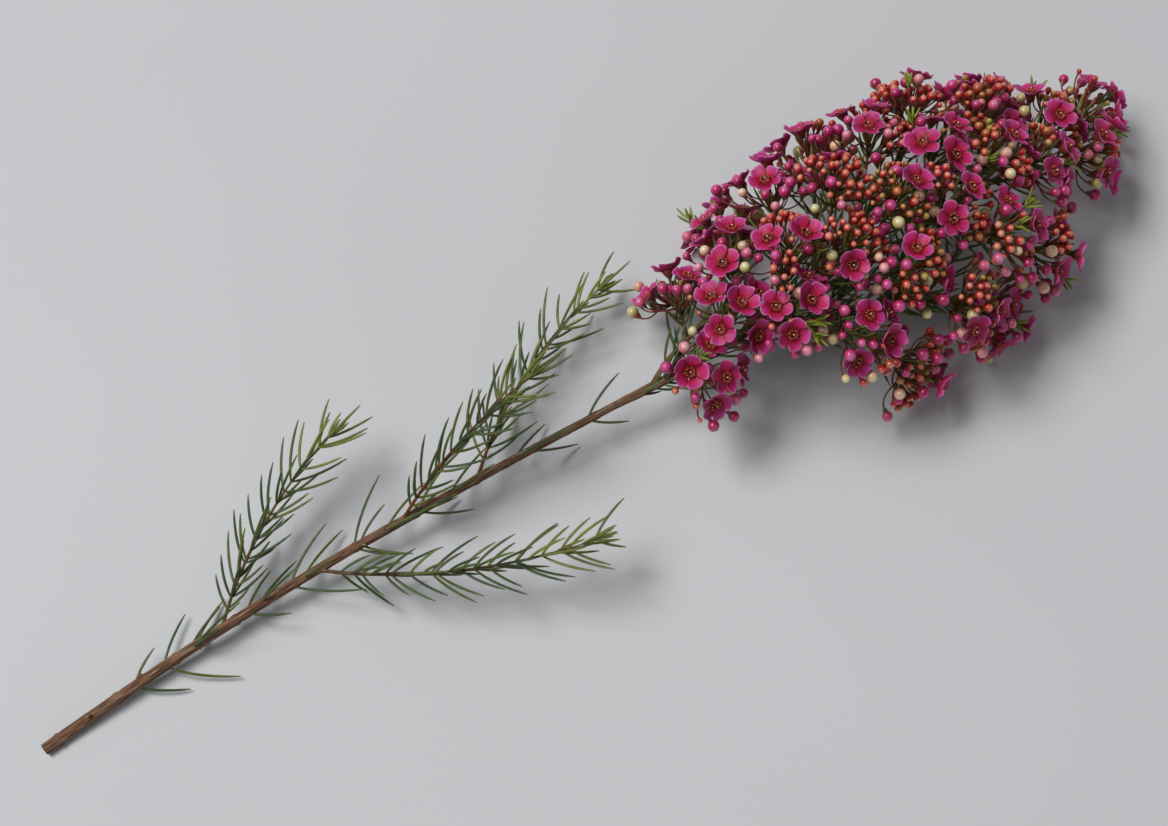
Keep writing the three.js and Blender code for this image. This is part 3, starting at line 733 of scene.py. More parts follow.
def plan_tufts():
    """A tuft of short young needles round the growing tip of each shoot, each on its golden angle."""
    for i, branch in enumerate(b for b in branches if b["kind"] == "shoot"):
        root, ahead = bezier(branch["controls"], [0.97, 0.99])
        heading = unit(ahead - root)
        for j in range(TUFT["needles"]):
            out = round_about(across(heading), i + j * GOLDEN_ANGLE)
            length = TUFT["longest"] - TUFT["shorter"] * j
            path = needle_path(root + TUFT["apart"] * j * heading, heading, out, length, TUFT["open"])
            add_needle(branch["name"], path, 1.0, "shoot")


plan_sprigs()
plan_flush()
plan_foliage(SEED + STREAMS["more_needles"], MORE_FOLIAGE)
plan_tufts()
print("with what the solids leave out:", kinds(), "organs in all:", len(organs))

# %% [markdown]
# ## From formulas to meshes
# Each form is worked out as whole arrays for all its copies at once: rings of points along a path, or round
# an axis, and a disc of points for a petal. A skin carries what its finish needs at every point: its place
# on the unbent form in millimetres (grain), its share along it (reach), how near it is to a petal's rim
# (edge), the copy's own draw (tint) and how ripe it is (ripe). Patterns read these, so they follow a curved
# stalk or petal as fibres and veins do.

# %% Skins
NO_CORNER = -1  # stands for the fourth corner of a triangle
GRAIN_SHIFT = 40  # millimetres that the grain of a copy is moved for each unit of its tint


def skin(points, faces, grain, reach, tint, ripe, edge=0.0, finish=0):
    """A closed surface of many copies: points (copies, n, 3), faces (m, 4) of one copy, and its values."""
    copies, count = points.shape[:2]
    shifted = np.where(faces < 0, NO_CORNER, faces + np.arange(copies)[:, None, None] * count)

    def spread(values):
        values = np.asarray(values, float)
        values = values[:, None] if values.ndim == 1 and len(values) == copies else values
        return np.broadcast_to(values, (copies, count)).reshape(-1)

    tint = spread(tint)
    return {
        "points": points.reshape(-1, 3),
        "faces": shifted.reshape(-1, 4),
        "grain": np.broadcast_to(grain, points.shape).reshape(-1, 3) + GRAIN_SHIFT * tint[:, None],
        "reach": spread(reach),
        "tint": tint,
        "ripe": spread(ripe),
        "edge": spread(edge),
        "finish": finish,
    }


def loft_faces(steps, sides):
    """Quads between neighbouring rings of one body, and a fan to an end point at each end."""
    side = np.arange(sides)
    after = (side + 1) % sides
    step = np.arange(steps - 1)[:, None] * sides
    walls = np.stack([step + side, step + after, step + sides + after, step + sides + side], -1)
    top, foot, none = (steps - 1) * sides, steps * sides, np.full(sides, NO_CORNER)
    first = np.stack([np.full(sides, foot), after, side, none], -1)
    last = np.stack([np.full(sides, foot + 1), top + side, top + after, none], -1)
    return np.concatenate([walls.reshape(-1, 4), first, last])


def lofted(rings, grain, reach, tint, ripe, finish=0):
    """A skin over rings (bodies, steps, sides, 3), closed at both ends by the middle of the end ring."""
    bodies, steps, sides, _ = rings.shape

    def closed(values, middle):
        values = np.broadcast_to(values, (bodies, steps, sides, values.shape[-1]))
        ends = values[:, [0, -1]].mean(2) if middle else values[:, [0, -1], 0]
        return np.concatenate([values.reshape(bodies, steps * sides, -1), ends], 1)

    reach = np.broadcast_to(reach, (bodies, steps))[..., None, None]
    share = closed(np.broadcast_to(reach, (bodies, steps, sides, 1)), False)[..., 0]
    points, faces = closed(rings, True), loft_faces(steps, sides)
    return skin(points, faces, closed(grain, True), share, tint, ripe, 0.0, finish)


def at_rings(values, sides):
    """One value for each ring, spread to every point of a closed loft, its two end points included."""
    return np.concatenate([np.repeat(values, sides), [values[0], values[-1]]])[None]


def circle(sides, turn=0.0):
    """Even angles round an axis."""
    return turn + 2 * math.pi * np.arange(sides) / sides


def unbent(sides, wide, run):
    """Places on a form before it is bent, for its grain: wide * (cos, sin) across, and run along it."""
    flat = np.stack([np.cos(circle(sides)), np.sin(circle(sides))], -1) * wide
    return np.concatenate([flat, np.broadcast_to(run[..., None, None], (*flat.shape[:-1], 1))], -1)


def tubes(paths, radii, sides, tint, ripe=0.0, section=1.0, finish=0, reach=None):
    """Tubes along paths (bodies, steps, 3): the path plus radius * section * (cos e1 + sin e2), where e1
    is one guide direction for each path, made square to it, and e2 is the heading x e1."""
    bodies, steps, _ = paths.shape
    heading = np.empty_like(paths)
    heading[:, 1:-1] = paths[:, 2:] - paths[:, :-2]
    heading[:, [0, -1]] = paths[:, [1, -1]] - paths[:, [0, -2]]
    heading = unit(heading)
    guide = across(unit(paths[:, -1] - paths[:, 0]))[0][:, None]
    e1 = unit(guide - (guide * heading).sum(-1, keepdims=True) * heading)
    cross = (e1[:, :, None], np.cross(heading, e1)[:, :, None])
    wide = (np.broadcast_to(radii, (bodies, steps))[..., None] * section)[..., None]
    rings = paths[:, :, None] + wide * round_about(cross, circle(sides))
    run = np.concatenate([np.zeros((bodies, 1)), length_of(np.diff(paths, axis=1)).cumsum(1)], 1)
    share = run / run[:, -1:] if reach is None else reach
    return lofted(rings, unbent(sides, wide, run), share, tint, ripe, finish)


def turned(at, axis, heights, radii, sides, tint, ripe, twist=0.0, reach=None, finish=0, ribs=0.0):
    """Forms turned round an axis: at + height * axis + radius * (1 + ribs) * (cos e1 + sin e2)."""
    phi = circle(sides) + np.broadcast_to(twist, (len(at),))[:, None]
    out = round_about([e[:, None] for e in across(axis)], phi)
    wide = (np.broadcast_to(radii, heights.shape)[..., None] * (1 + ribs))[..., None]
    rings = (at[:, None] + heights[..., None] * axis[:, None])[:, :, None] + wide * out[:, None]
    share = np.linspace(0, 1, heights.shape[1]) if reach is None else reach
    return lofted(rings, unbent(sides, wide, heights), share, tint, ripe, finish)


def gathered(found, *keys, times=1):
    """For each key an array of what the organs found hold under it, with each row repeated."""
    return [np.repeat(np.array([organ[key] for organ in found]), times, 0) for key in keys]


# %% Skins into a piece
made_pieces = {}
SKIN_VALUES = {"grain": "FLOAT_VECTOR", "reach": "FLOAT", "tint": "FLOAT", "ripe": "FLOAT", "edge": "FLOAT"}


def signed_volume(points, faces):
    """A sixth of the sum of a . (b x c) over the triangles: positive where the faces point outwards."""
    quads = faces[faces[:, 3] >= 0]
    corners = np.concatenate([faces[:, :3], quads[:, [0, 2, 3]]])
    a, b, c = (points[corners[:, i]] for i in range(3))
    return float((a * np.cross(b, c)).sum() / 6)


def put(name, data):
    """A new object in the scene that shows the data."""
    made = bpy.data.objects.new(name, data)
    bpy.context.scene.collection.objects.link(made)
    return made


def make_piece(name, node, skins, finishes):
    """Joins skins in one mesh in metres, with smooth faces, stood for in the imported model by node."""
    counts = np.cumsum([0, *(len(s["points"]) for s in skins)])
    moved = [np.where(s["faces"] < 0, NO_CORNER, s["faces"] + c) for s, c in zip(skins, counts)]
    faces = np.concatenate(moved)
    points = np.concatenate([s["points"] for s in skins]) - ORIGIN
    points[:, 2] = np.maximum(points[:, 2], 0)  # what meets the surface is pressed flat on it
    totals = (faces >= 0).sum(1)
    starts = np.concatenate([[0], totals.cumsum()[:-1]])
    loops = faces[faces >= 0]
    number = np.concatenate([np.full(len(s["faces"]), s["finish"]) for s in skins])
    mesh = bpy.data.meshes.new(name)
    mesh.vertices.add(len(points))
    mesh.vertices.foreach_set("co", (points * MM).astype(np.float32).ravel())
    mesh.loops.add(len(loops))
    mesh.loops.foreach_set("vertex_index", loops.astype(np.int32))
    mesh.polygons.add(len(faces))
    mesh.polygons.foreach_set("loop_start", starts.astype(np.int32))
    mesh.polygons.foreach_set("material_index", number.astype(np.int32))
    mesh.polygons.foreach_set("use_smooth", np.ones(len(faces), bool))
    for key, kind in SKIN_VALUES.items():
        values = np.concatenate([s[key] for s in skins]).astype(np.float32).ravel()
        field = "vector" if kind == "FLOAT_VECTOR" else "value"
        mesh.attributes.new(key, kind, "POINT").data.foreach_set(field, values)
    mesh.update(calc_edges=True)
    for finish in finishes:
        mesh.materials.append(finish)
    piece = put(name, mesh)
    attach(piece, "root")
    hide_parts(node)
    made_pieces[name] = {"triangles": int((totals - 2).sum()), "volume": signed_volume(points, faces)}

# %% [markdown]
# ## Finishes
# A finish starts from one glossy shader and feeds it colour, roughness and bump from small patterns. These
# helpers keep a finish to a few lines: add a node, read a value of the skin, blend colours on a ramp, and
# link the three results to the shader.

# %% Helpers for finishes


def colour(shade):
    """A screen colour of 0 to 255 as linear light: ((c + 0.055) / 1.055)^2.4, or c / 12.92 near black. What
    comes out of a node is left as it is."""
    if isinstance(shade, bpy.types.NodeSocket):
        return shade
    screen = np.array(shade) / 255
    linear = np.where(screen > 0.04045, ((screen + 0.055) / 1.055) ** 2.4, screen / 12.92)
    return (*(float(c) for c in linear), 1.0)


def new_finish(name, **sockets):
    """A material. Values that are the same all over sit on its shader's own sockets."""
    made = bpy.data.materials.new(name)
    made.use_nodes = True
    for socket, value in sockets.items():
        shader_of(made).inputs[socket.replace("_", " ")].default_value = value
    return made, made.node_tree


def shader_of(made):
    """The shader of a material."""
    return made.node_tree.nodes["Principled BSDF"]


def add(tree, kind, inputs=(), out=0, **settings):
    """Adds a node, sets or links its inputs, and gives back one of its outputs."""
    made = tree.nodes.new(kind)
    for key, value in settings.items():
        setattr(made, key, value)
    for socket, value in dict(inputs).items():
        if isinstance(value, bpy.types.NodeSocket):
            tree.links.new(value, made.inputs[socket])
        else:
            made.inputs[socket].default_value = value
    return made.outputs[out]


def read(tree, name):
    """A value that the skin carries."""
    return add(tree, "ShaderNodeAttribute", attribute_name=name, out="Vector" if name == "grain" else "Fac")


def blend_of(tree, share, a, b):
    """Two colours mixed by a share."""
    return add(tree, "ShaderNodeMix", {0: share, 6: colour(a), 7: colour(b)}, 2, data_type="RGBA")


def product(tree, a, b):
    """One value times another."""
    return add(tree, "ShaderNodeMath", {0: a, 1: b}, operation="MULTIPLY")


def ramp(tree, value, stops):
    """Colours at places between 0 and 1, blended between them."""
    out = add(tree, "ShaderNodeValToRGB", {0: value})
    elements = out.node.color_ramp.elements
    while len(elements) < len(stops):
        elements.new(0.5)
    for element, (place_, shade) in zip(elements, stops):
        element.position = place_
        element.color = colour(shade)
    return out


def mapped(tree, value, from_low, from_high, low=0.0, high=1.0):
    """A value moved from one range to another and held there."""
    ends = {"Value": value, "From Min": from_low, "From Max": from_high, "To Min": low, "To Max": high}
    return add(tree, "ShaderNodeMapRange", ends)


def noise(tree, scale, stretch=(1, 1, 1), detail=3.0):
    """Noise on the unbent form, with scale in blots a millimetre, stretched along its axes."""
    place_ = add(tree, "ShaderNodeVectorMath", {0: read(tree, "grain"), 1: stretch}, operation="MULTIPLY")
    return add(tree, "ShaderNodeTexNoise", {"Vector": place_, "Scale": scale, "Detail": detail})


def finished(made, base, pattern, rough, height, depth, strength):
    """Links the colour, the roughness, which a pattern moves over a range, and the relief of a depth in
    millimetres from a height of 0 to 1. Gives back the material."""
    tree, sockets = made.node_tree, shader_of(made).inputs
    relief = {"Height": height, "Distance": depth * MM, "Strength": strength}
    tree.links.new(base, sockets["Base Color"])
    tree.links.new(mapped(tree, pattern, 0.3, 0.7, *rough), sockets["Roughness"])
    tree.links.new(add(tree, "ShaderNodeBump", relief), sockets["Normal"])
    return made


# %% [markdown]
# ### Petals
# A waxflower petal is thick and waxy: crimson where it leaves the cup, rose to magenta over the blade, and
# paler and more violet towards the rim, with fine veins that fan out. A painted highlight lightens the rim
# itself. No two petals have the same shade, so the tint leans each one to rose or to violet.

# %% The petal finish


def petal_finish():
    """Colour by reach, with a painted highlight that lightens the edge, leaned by tint, with veins along the
    blade.
    """
    made, tree = new_finish(
        "waxy_petal", Specular_IOR_Level=0.26, Sheen_Weight=0.3, Sheen_Roughness=0.4,
        Sheen_Tint=colour((230, 120, 196)))
    reach, tint = read(tree, "reach"), read(tree, "tint")
    blade = ramp(tree, reach, [
        (0.0, (92, 2, 12)), (0.22, (160, 10, 34)), (0.4, (188, 30, 80)), (0.62, (196, 50, 116)),
        (1.0, (206, 84, 158))])
    outer = mapped(tree, reach, 0.3, 0.65)
    lean = product(tree, mapped(tree, tint, 0.4, 1.0, 0.0, 0.6), outer)
    violet = blend_of(tree, lean, blade, (180, 58, 146))
    rose = blend_of(tree, mapped(tree, tint, 0.45, 0.0, 0.0, 0.4), violet, (192, 30, 92))
    aged = blend_of(tree, mapped(tree, read(tree, "ripe"), 0.5, 1.0, 0.0, 0.45), rose, (148, 18, 72))
    # Painted highlight: the rim of the outer blade is lightened towards pale pink, as if it caught the light.
    rim = mapped(tree, read(tree, "edge"), 0.74, 1.0, 0.0, 0.6)
    rim_highlighted = blend_of(tree, product(tree, rim, outer), aged, (234, 146, 206))
    veins = noise(tree, 2.6, (1, 0.16, 1), 4.0)
    veined = blend_of(tree, mapped(tree, veins, 0.35, 0.62, 0.0, 0.34), rim_highlighted, (146, 16, 76))
    return finished(made, veined, noise(tree, 1.5), (0.38, 0.58), veins, 0.12, 0.7)


# %% The finish of buds, cups and stamens


def petal_folds(tree, reach):
    """Five closed petals that overlap like the leaves of a lens: the fraction of 5 * angle / turn + lean *
    share up the ball, a ramp from each petal's covered edge to its free one."""
    shift = {0: read(tree, "tint"), 1: (-GRAIN_SHIFT,) * 3, 2: read(tree, "grain")}
    centred = add(tree, "ShaderNodeVectorMath", shift, operation="MULTIPLY_ADD")
    split = add(tree, "ShaderNodeSeparateXYZ", {0: centred}).node
    angle = add(tree, "ShaderNodeMath", {0: split.outputs[1], 1: split.outputs[0]}, operation="ARCTAN2")
    petals = {0: angle, 1: BLOOM["petals"] / (2 * math.pi), 2: product(tree, reach, 1.6)}
    turns = add(tree, "ShaderNodeMath", petals, operation="MULTIPLY_ADD")
    return add(tree, "ShaderNodeMath", {0: turns}, operation="FRACT")


def bud_finish():
    """Colours by ripeness: the ball, a darker foot that is painted shade on its lower side, and a paler tip
    that is partly the crown's own colour and partly a painted highlight, with seams between the closed
    petals, a green to red calyx, and a waxy gloss."""
    made, tree = new_finish("bud_skin", Specular_IOR_Level=0.6, Coat_Weight=0.3, Coat_Roughness=0.2)
    reach, ripe = read(tree, "reach"), read(tree, "ripe")
    ball = ramp(tree, ripe, [
        (0.0, (136, 140, 44)), (0.08, (160, 88, 36)), (0.16, (182, 38, 26)), (0.3, (192, 38, 34)),
        (0.44, (200, 60, 58)), (0.5, (196, 190, 112)), (0.58, (236, 208, 160)), (0.66, (226, 122, 152)),
        (0.76, (200, 42, 110)), (1.0, (164, 18, 74))])
    # The foot tones are painted shade: the darker colour of the ball's shaded lower side. They are also used
    # for its mottles and seams.
    foot = ramp(tree, ripe, [
        (0.0, (96, 96, 30)), (0.12, (122, 20, 10)), (0.45, (146, 22, 16)), (0.5, (136, 130, 58)),
        (0.6, (208, 142, 104)), (0.76, (140, 10, 66)), (1.0, (108, 4, 46))])
    # The top tones are partly the buds' own paler crowns and partly a painted highlight from the light above.
    top = ramp(tree, ripe, [
        (0.0, (206, 206, 112)), (0.12, (238, 140, 96)), (0.45, (250, 184, 154)), (0.5, (238, 238, 190)),
        (0.6, (248, 230, 196)), (0.76, (230, 112, 182)), (1.0, (208, 66, 140))])
    mottled = blend_of(tree, mapped(tree, noise(tree, 0.8), 0.4, 0.7, 0.0, 0.4), ball, foot)
    # Painted shade: the lower half of the ball darkens towards the foot tone.
    low = blend_of(tree, mapped(tree, reach, 0.74, 0.45, 0.0, 0.65), mottled, foot)
    # Partly a paler crown and partly a painted highlight: the crown lightens towards the top tone.
    tip = blend_of(tree, mapped(tree, reach, 0.84, 1.0, 0.0, 0.75), low, top)
    folded = petal_folds(tree, reach)
    shown = mapped(tree, reach, 0.52, 0.8, 0.0, 0.5)
    # Seams: a band at each petal's covered edge darkens towards the foot tone.
    crowned = blend_of(tree, product(tree, mapped(tree, folded, 0.2, 0.0), shown), tip, foot)
    calyx = blend_of(tree, mapped(tree, read(tree, "tint"), 0.2, 0.8), (88, 78, 28), (132, 40, 22))
    whole = blend_of(tree, mapped(tree, reach, 0.34, 0.5), calyx, crowned)
    steps = {0: noise(tree, 3.0), 1: 0.4, 2: product(tree, folded, shown)}
    relief = add(tree, "ShaderNodeMath", steps, operation="MULTIPLY_ADD")
    return finished(made, whole, noise(tree, 2.0), (0.26, 0.46), relief, 0.16, 0.7)


def cup_finish():
    """Green to wine-red outside the cup, and inside it a disc from dark wine to rust, by tint."""
    made, tree = new_finish("flower_cup", Specular_IOR_Level=0.4)
    reach = read(tree, "reach")
    wall = ramp(tree, reach, [
        (0.0, (70, 66, 26)), (0.3, (110, 62, 36)), (0.52, (150, 34, 52)), (0.62, (140, 12, 40))])
    disc = blend_of(tree, read(tree, "tint"), (82, 6, 14), (150, 40, 28))
    cup = blend_of(tree, mapped(tree, reach, 0.62, 0.8), wall, disc)
    blotched = blend_of(tree, mapped(tree, noise(tree, 1.2), 0.4, 0.7, 0.0, 0.35), cup, (60, 10, 20))
    return finished(made, blotched, noise(tree, 3.0), (0.32, 0.5), noise(tree, 4.0), 0.05, 0.6)


def stamen_finish():
    """Crimson threads that end in rust and amber anthers, by reach."""
    made, tree = new_finish("stamens")
    thread = ramp(tree, read(tree, "reach"), [
        (0.0, (140, 10, 40)), (0.55, (180, 36, 56)), (0.68, (196, 84, 52)), (0.8, (214, 116, 60)),
        (1.0, (180, 72, 36))])
    varied = blend_of(tree, mapped(tree, read(tree, "tint"), 0, 1, 0, 0.5), thread, (128, 34, 22))
    return finished(made, varied, noise(tree, 5.0), (0.35, 0.6), noise(tree, 8.0), 0.04, 0.6)


def style_finish():
    """A pink style with a peach-cream knob."""
    made, tree = new_finish("style")
    thread = ramp(tree, read(tree, "reach"), [
        (0.0, (170, 40, 70)), (0.6, (216, 130, 120)), (0.8, (240, 206, 170)), (1.0, (234, 198, 160))])
    varied = blend_of(tree, mapped(tree, noise(tree, 4.0), 0.4, 0.7, 0.0, 0.3), thread, (200, 120, 100))
    return finished(made, varied, noise(tree, 5.0), (0.3, 0.5), noise(tree, 8.0), 0.03, 0.5)


# %% The finish of stalks, needles and wood


def stalk_finish():
    """Green stalks that redden by tint and towards the heads, finely ribbed along their length."""
    made, tree = new_finish("stalk", Specular_IOR_Level=0.4)
    green = blend_of(tree, mapped(tree, noise(tree, 0.5), 0.35, 0.65), (66, 58, 26), (108, 94, 42))
    red = blend_of(tree, mapped(tree, noise(tree, 0.9), 0.35, 0.65), (92, 28, 22), (142, 56, 38))
    stalk = blend_of(tree, mapped(tree, read(tree, "ripe"), 0.0, 1.0), green, red)
    fibres = noise(tree, 4.0, (1, 1, 0.12))
    return finished(made, stalk, fibres, (0.4, 0.65), fibres, 0.1, 0.8)


def needle_finish():
    """Dark green with a paler base and tip, lime where the needle is young, with a fine groove."""
    made, tree = new_finish("needle_leaf", Specular_IOR_Level=0.5)
    old = ramp(tree, read(tree, "reach"), [
        (0.0, (104, 102, 44)), (0.15, (60, 82, 30)), (0.8, (54, 78, 28)), (0.95, (104, 108, 46)),
        (1.0, (130, 96, 50))])
    young = blend_of(tree, mapped(tree, read(tree, "ripe"), 0.0, 1.0), old, (146, 158, 48))
    patches = mapped(tree, noise(tree, 0.7, (1, 1, 0.3)), 0.35, 0.7, 0.0, 0.45)
    shade = blend_of(tree, patches, young, (34, 50, 22))
    warm = blend_of(tree, mapped(tree, read(tree, "tint"), 0.6, 1.0, 0.0, 0.3), shade, (110, 84, 40))
    fibres = noise(tree, 5.0, (1, 1, 0.08))
    return finished(made, warm, fibres, (0.34, 0.55), fibres, 0.08, 0.7)


def bark_finish():
    """Grey-brown bark in long fibres, with dark fissures and paler worn ridges."""
    made, tree = new_finish("bark", Specular_IOR_Level=0.3)
    fibres = noise(tree, 1.6, (1, 1, 0.07), 6.0)
    coarse = noise(tree, 0.35, (1, 1, 0.25), 3.0)
    wood = ramp(tree, fibres, [
        (0.3, (54, 36, 26)), (0.45, (98, 72, 52)), (0.58, (132, 104, 78)), (0.72, (168, 144, 116))])
    patched = blend_of(tree, mapped(tree, coarse, 0.42, 0.66, 0.0, 0.55), wood, (112, 62, 40))
    young = blend_of(tree, mapped(tree, read(tree, "ripe"), 0.0, 1.0, 0.0, 0.75), patched, (78, 56, 30))
    return finished(made, young, fibres, (0.9, 0.62), fibres, 0.35, 1.0)


def cut_finish():
    """Pale green-cream wood in fine rings round a brown pith."""
    made, tree = new_finish("cut_wood")
    edge = read(tree, "edge")
    rings = add(tree, "ShaderNodeTexNoise", {"Vector": edge, "Scale": 14.0, "Detail": 2.0})
    wood = ramp(tree, edge, [
        (0.0, (120, 84, 50)), (0.12, (150, 120, 76)), (0.2, (214, 196, 146)), (0.8, (204, 190, 130)),
        (0.88, (150, 150, 80)), (0.94, (96, 66, 44))])
    ringed = blend_of(tree, mapped(tree, rings, 0.4, 0.6, 0.0, 0.35), wood, (166, 136, 84))
    return finished(made, ringed, noise(tree, 4.0), (0.6, 0.85), noise(tree, 5.0), 0.1, 0.8)


FINISH = {
    "petal": petal_finish(), "bud": bud_finish(), "cup": cup_finish(), "stamen": stamen_finish(),
    "style": style_finish(), "stalk": stalk_finish(), "needle": needle_finish(), "bark": bark_finish(),
    "cut": cut_finish(),
}
print("finishes:", ", ".join(FINISH))

# %% [markdown]
# ## Stalks
# A stalk is about a millimetre thick or less, green and often reddened. It thickens a little where it joins
# and under the flower. A stalk of three corners is rounded through the middles of its chords, because that
# is where the next stalks spring from.

# %% Lines of stalks
limb_draw = np.random.default_rng(SEED)  # draws what the solids don't have, such as tints and curls


def rounded(corners):
    """Lines (stalks, corners, 3), each inner corner rounded by a quadratic curve between chord middles."""
    middles = (corners[:, 1:] + corners[:, :-1]) / 2
    pieces = [corners[:, :1], middles[:, :1]]
    for i in range(1, corners.shape[1] - 1):
        bend = np.stack([middles[:, i - 1], corners[:, i], middles[:, i]], 1)
        pieces.append(bezier(bend, [0.25, 0.5, 0.75, 1.0]))
    return np.concatenate([*pieces, corners[:, -1:]], 1)


def stalk_skins(found):
    """The stalks of heads, the straight ones and the bent ones, as tubes that swell at both ends: by an
    exponential at the foot, and by the sixth power of the share under the head."""
    made = []
    for corners in (2, 3):
        chosen = [organ for organ in found if len(stalk_line(organ["path"])) == corners]
        if not chosen:
            continue
        paths = rounded(np.stack([stalk_line(organ["path"]) for organ in chosen]))
        share = np.linspace(0, 1, paths.shape[1])
        radii = 0.36 + 0.12 * np.exp(-share * 9) + 0.05 * share**6
        redness = gathered(chosen, "redness")[0]
        reddened = np.clip(redness[:, None] + 0.4 * at_rings(share, 6), 0, 1)
        made.append(tubes(paths, radii, 6, redness, reddened))
    return made


for organ in organs:
    organ["redness"] = float(limb_draw.uniform(0, 1))
    organ["tint"] = float(limb_draw.uniform(0, 1))

# %% [markdown]
# ## Buds
# A bud looks like a drumstick: a narrow calyx widens into a ball of closed petals, a little flattened at
# the crown. Hundreds of them are turned round their axes at once, with few faces each.

# %% The form of a bud
FINE_BALL = {"sides": 10, "rings": np.radians([-52, -28, -4, 20, 44, 68])}  # latitudes on the ball
FAT_BALL = {"sides": 15, "rings": np.radians([-56, -38, -20, -2, 16, 34, 52, 70])}


def bud_skins(found):
    """The fine buds and the fat ones, which need more faces to look round."""
    fine = [organ for organ in found if organ["ripe"] < BUD["fat_from"]]
    fat = [organ for organ in found if organ["ripe"] >= BUD["fat_from"]]
    return [balls(some, ball) for some, ball in ((fine, FINE_BALL), (fat, FAT_BALL)) if some]


def balls(found, ball):
    """Turned forms: a calyx from the stalk's foot, then a ball of height size * sin(latitude) and radius
    size * cos(latitude), with five faint folds that grow with the cube of the share, and a flat crown."""
    at, axis, size, tint, ripe = gathered(found, "at", "axis", "size", "tint", "ripe")
    size = size * (0.78 + 0.24 * tint if ball is FINE_BALL else 0.94 + 0.06 * tint)
    foot = -(size + BUD["calyx"])
    stem_up = np.stack([foot - 0.3, foot + 0.5, foot + 1.4], -1)
    stem_out = np.stack([0.34 + 0 * size, 0.44 + 0 * size, 0.34 * size + 0.1], -1)
    size, rings = size[:, None], ball["rings"]
    ball_up = size * np.sin(rings) * np.where(rings > 0, 0.98, 1.02)
    heights = np.concatenate([stem_up, ball_up, size * 0.985], -1)
    radii = np.concatenate([stem_out, size * np.cos(rings), 0.1 * size], -1)
    span = heights - heights[:, :1]
    share = span / span[:, -1:]
    folds = 0.04 * (share**3)[..., None] * np.cos(5 * circle(ball["sides"]))
    return turned(at, axis, heights, radii, ball["sides"], tint, ripe, 6.28 * tint, share, 0, folds)


# %% [markdown]
# ## Blooms
# Five round petals stand round a cup that is nearly six millimetres wide at its rim. Each lies just over
# the edge of the next, with its own rim lifted. In the cup a dark disc carries the style, and ten stamens
# stand in a ring and lean in over it. Some blooms have just opened and are deeper cups, and others lie
# almost flat.

# %% The form of petals
PETAL_GRID = 9  # points each way over a petal
PETAL = {"start": 0.26, "length": 0.83, "half_width": 0.475}  # as shares of the bloom's size


def disc_grid(count):
    """A square grid of a, b from -1 to 1 moved to a disc: a sqrt(1 - b^2/2), b sqrt(1 - a^2/2)."""
    b, a = np.meshgrid(np.linspace(-1, 1, count), np.linspace(-1, 1, count), indexing="ij")
    return a * np.sqrt(1 - b * b / 2), b * np.sqrt(1 - a * a / 2)


def grid_squares(count):
    """The four corners of each square of a grid of points that is counted row by row."""
    i, j = np.meshgrid(np.arange(count - 1), np.arange(count - 1), indexing="ij")
    low = (i * count + j).ravel()
    return np.stack([low, low + 1, low + count + 1, low + count], -1)


def shell_faces(count):
    """The top of a grid, its underside turned over, and the rim between them."""
    top = grid_squares(count)
    line, last, under = np.arange(count - 1), count - 1, count * count
    loop = np.concatenate([line, line * count + last, under - 1 - line, (last - line) * count])
    after = np.roll(loop, -1)
    rim = np.stack([loop, loop + under, after + under, after], -1)
    return np.concatenate([top, top[:, ::-1] + under, rim])


def petal_local(size, lift, draws):
    """Across, out and up of petals (petals, grid, grid): a disc drawn in at its base, lifted by the power
    1.3 of its share, cupped by the square of the way across, tilted so that one edge lies over the next
    petal, and waved at its rim."""
    disc_x, disc_y = disc_grid(PETAL_GRID)
    rim = np.sqrt(disc_x**2 + disc_y**2)
    turn = np.arctan2(disc_y, disc_x)
    share = (disc_y + 1) / 2
    wide, phase, curl, waves, size, lift = (v[:, None, None] for v in (*draws, size, lift))
    notch = 1 + 0.03 * np.sin(3 * turn + phase) * rim**4 + 0.02 * np.sin(7 * turn + 2 * phase) * rim**6
    base = 1 - 0.22 * (1 - share) ** 2
    x = PETAL["half_width"] * size * wide * disc_x * base * notch
    y = size * (PETAL["start"] + PETAL["length"] * (0.5 + (share - 0.5) * notch))
    cup = 0.15 * size * (disc_x * base) ** 2 * (0.4 + share)
    up = size * lift * share**1.3 + cup + 0.085 * size * disc_x * (0.3 + share)
    up = up + size * curl * share**4 + 0.03 * size * waves * np.sin(4 * turn + phase) * rim**5
    return x, y - 0.3 * lift * size * share**2, up + 0.02 * size, rim, share


def petal_skins(found):
    """Petals of all the blooms found, as thin closed shells, thickest along their middles."""
    keys = ("at", "axis", "size", "twist", "ripe", "tint")
    at, axis, size, twist, open_, tint = gathered(found, *keys, times=BLOOM["petals"])
    count = len(size)
    out = round_about(across(axis), twist + np.tile(circle(BLOOM["petals"]), len(found)))
    ranges = [(0.94, 1.06), (0, 6.28), (-0.12, 0.1), (0.3, 1.5)]  # wide, phase, curl and waves
    draws = [limb_draw.uniform(*ends, count) for ends in ranges]
    lift = 0.12 + 0.36 * (1 - open_) ** 1.4 + limb_draw.uniform(-0.06, 0.07, count)
    x, y, up, rim, share = petal_local(size * limb_draw.uniform(0.93, 1.01, count), lift, draws)
    place_, *ways = (v[:, None, None] for v in (at, np.cross(out, axis), out, axis))
    top = place_ + sum(way * v[..., None] for way, v in zip(ways, (x, y, up)))
    normal = unit(np.cross(np.gradient(top, axis=2), np.gradient(top, axis=1)))
    under = top - (0.26 * (1 - 0.75 * rim**3))[..., None] * normal
    points = np.concatenate([top.reshape(count, -1, 3), under.reshape(count, -1, 3)], 1)
    grain = np.stack([x, y, 0 * x], -1).reshape(count, -1, 3)
    grain = np.concatenate([grain, grain + [0, 0, 0.5]], 1)
    reach, edge = (np.tile(v.ravel(), 2)[None] for v in (share, rim))
    tint = tint * 0.7 + 0.3 * limb_draw.uniform(0, 1, count)
    return [skin(points, shell_faces(PETAL_GRID), grain, reach, tint, open_, edge)]


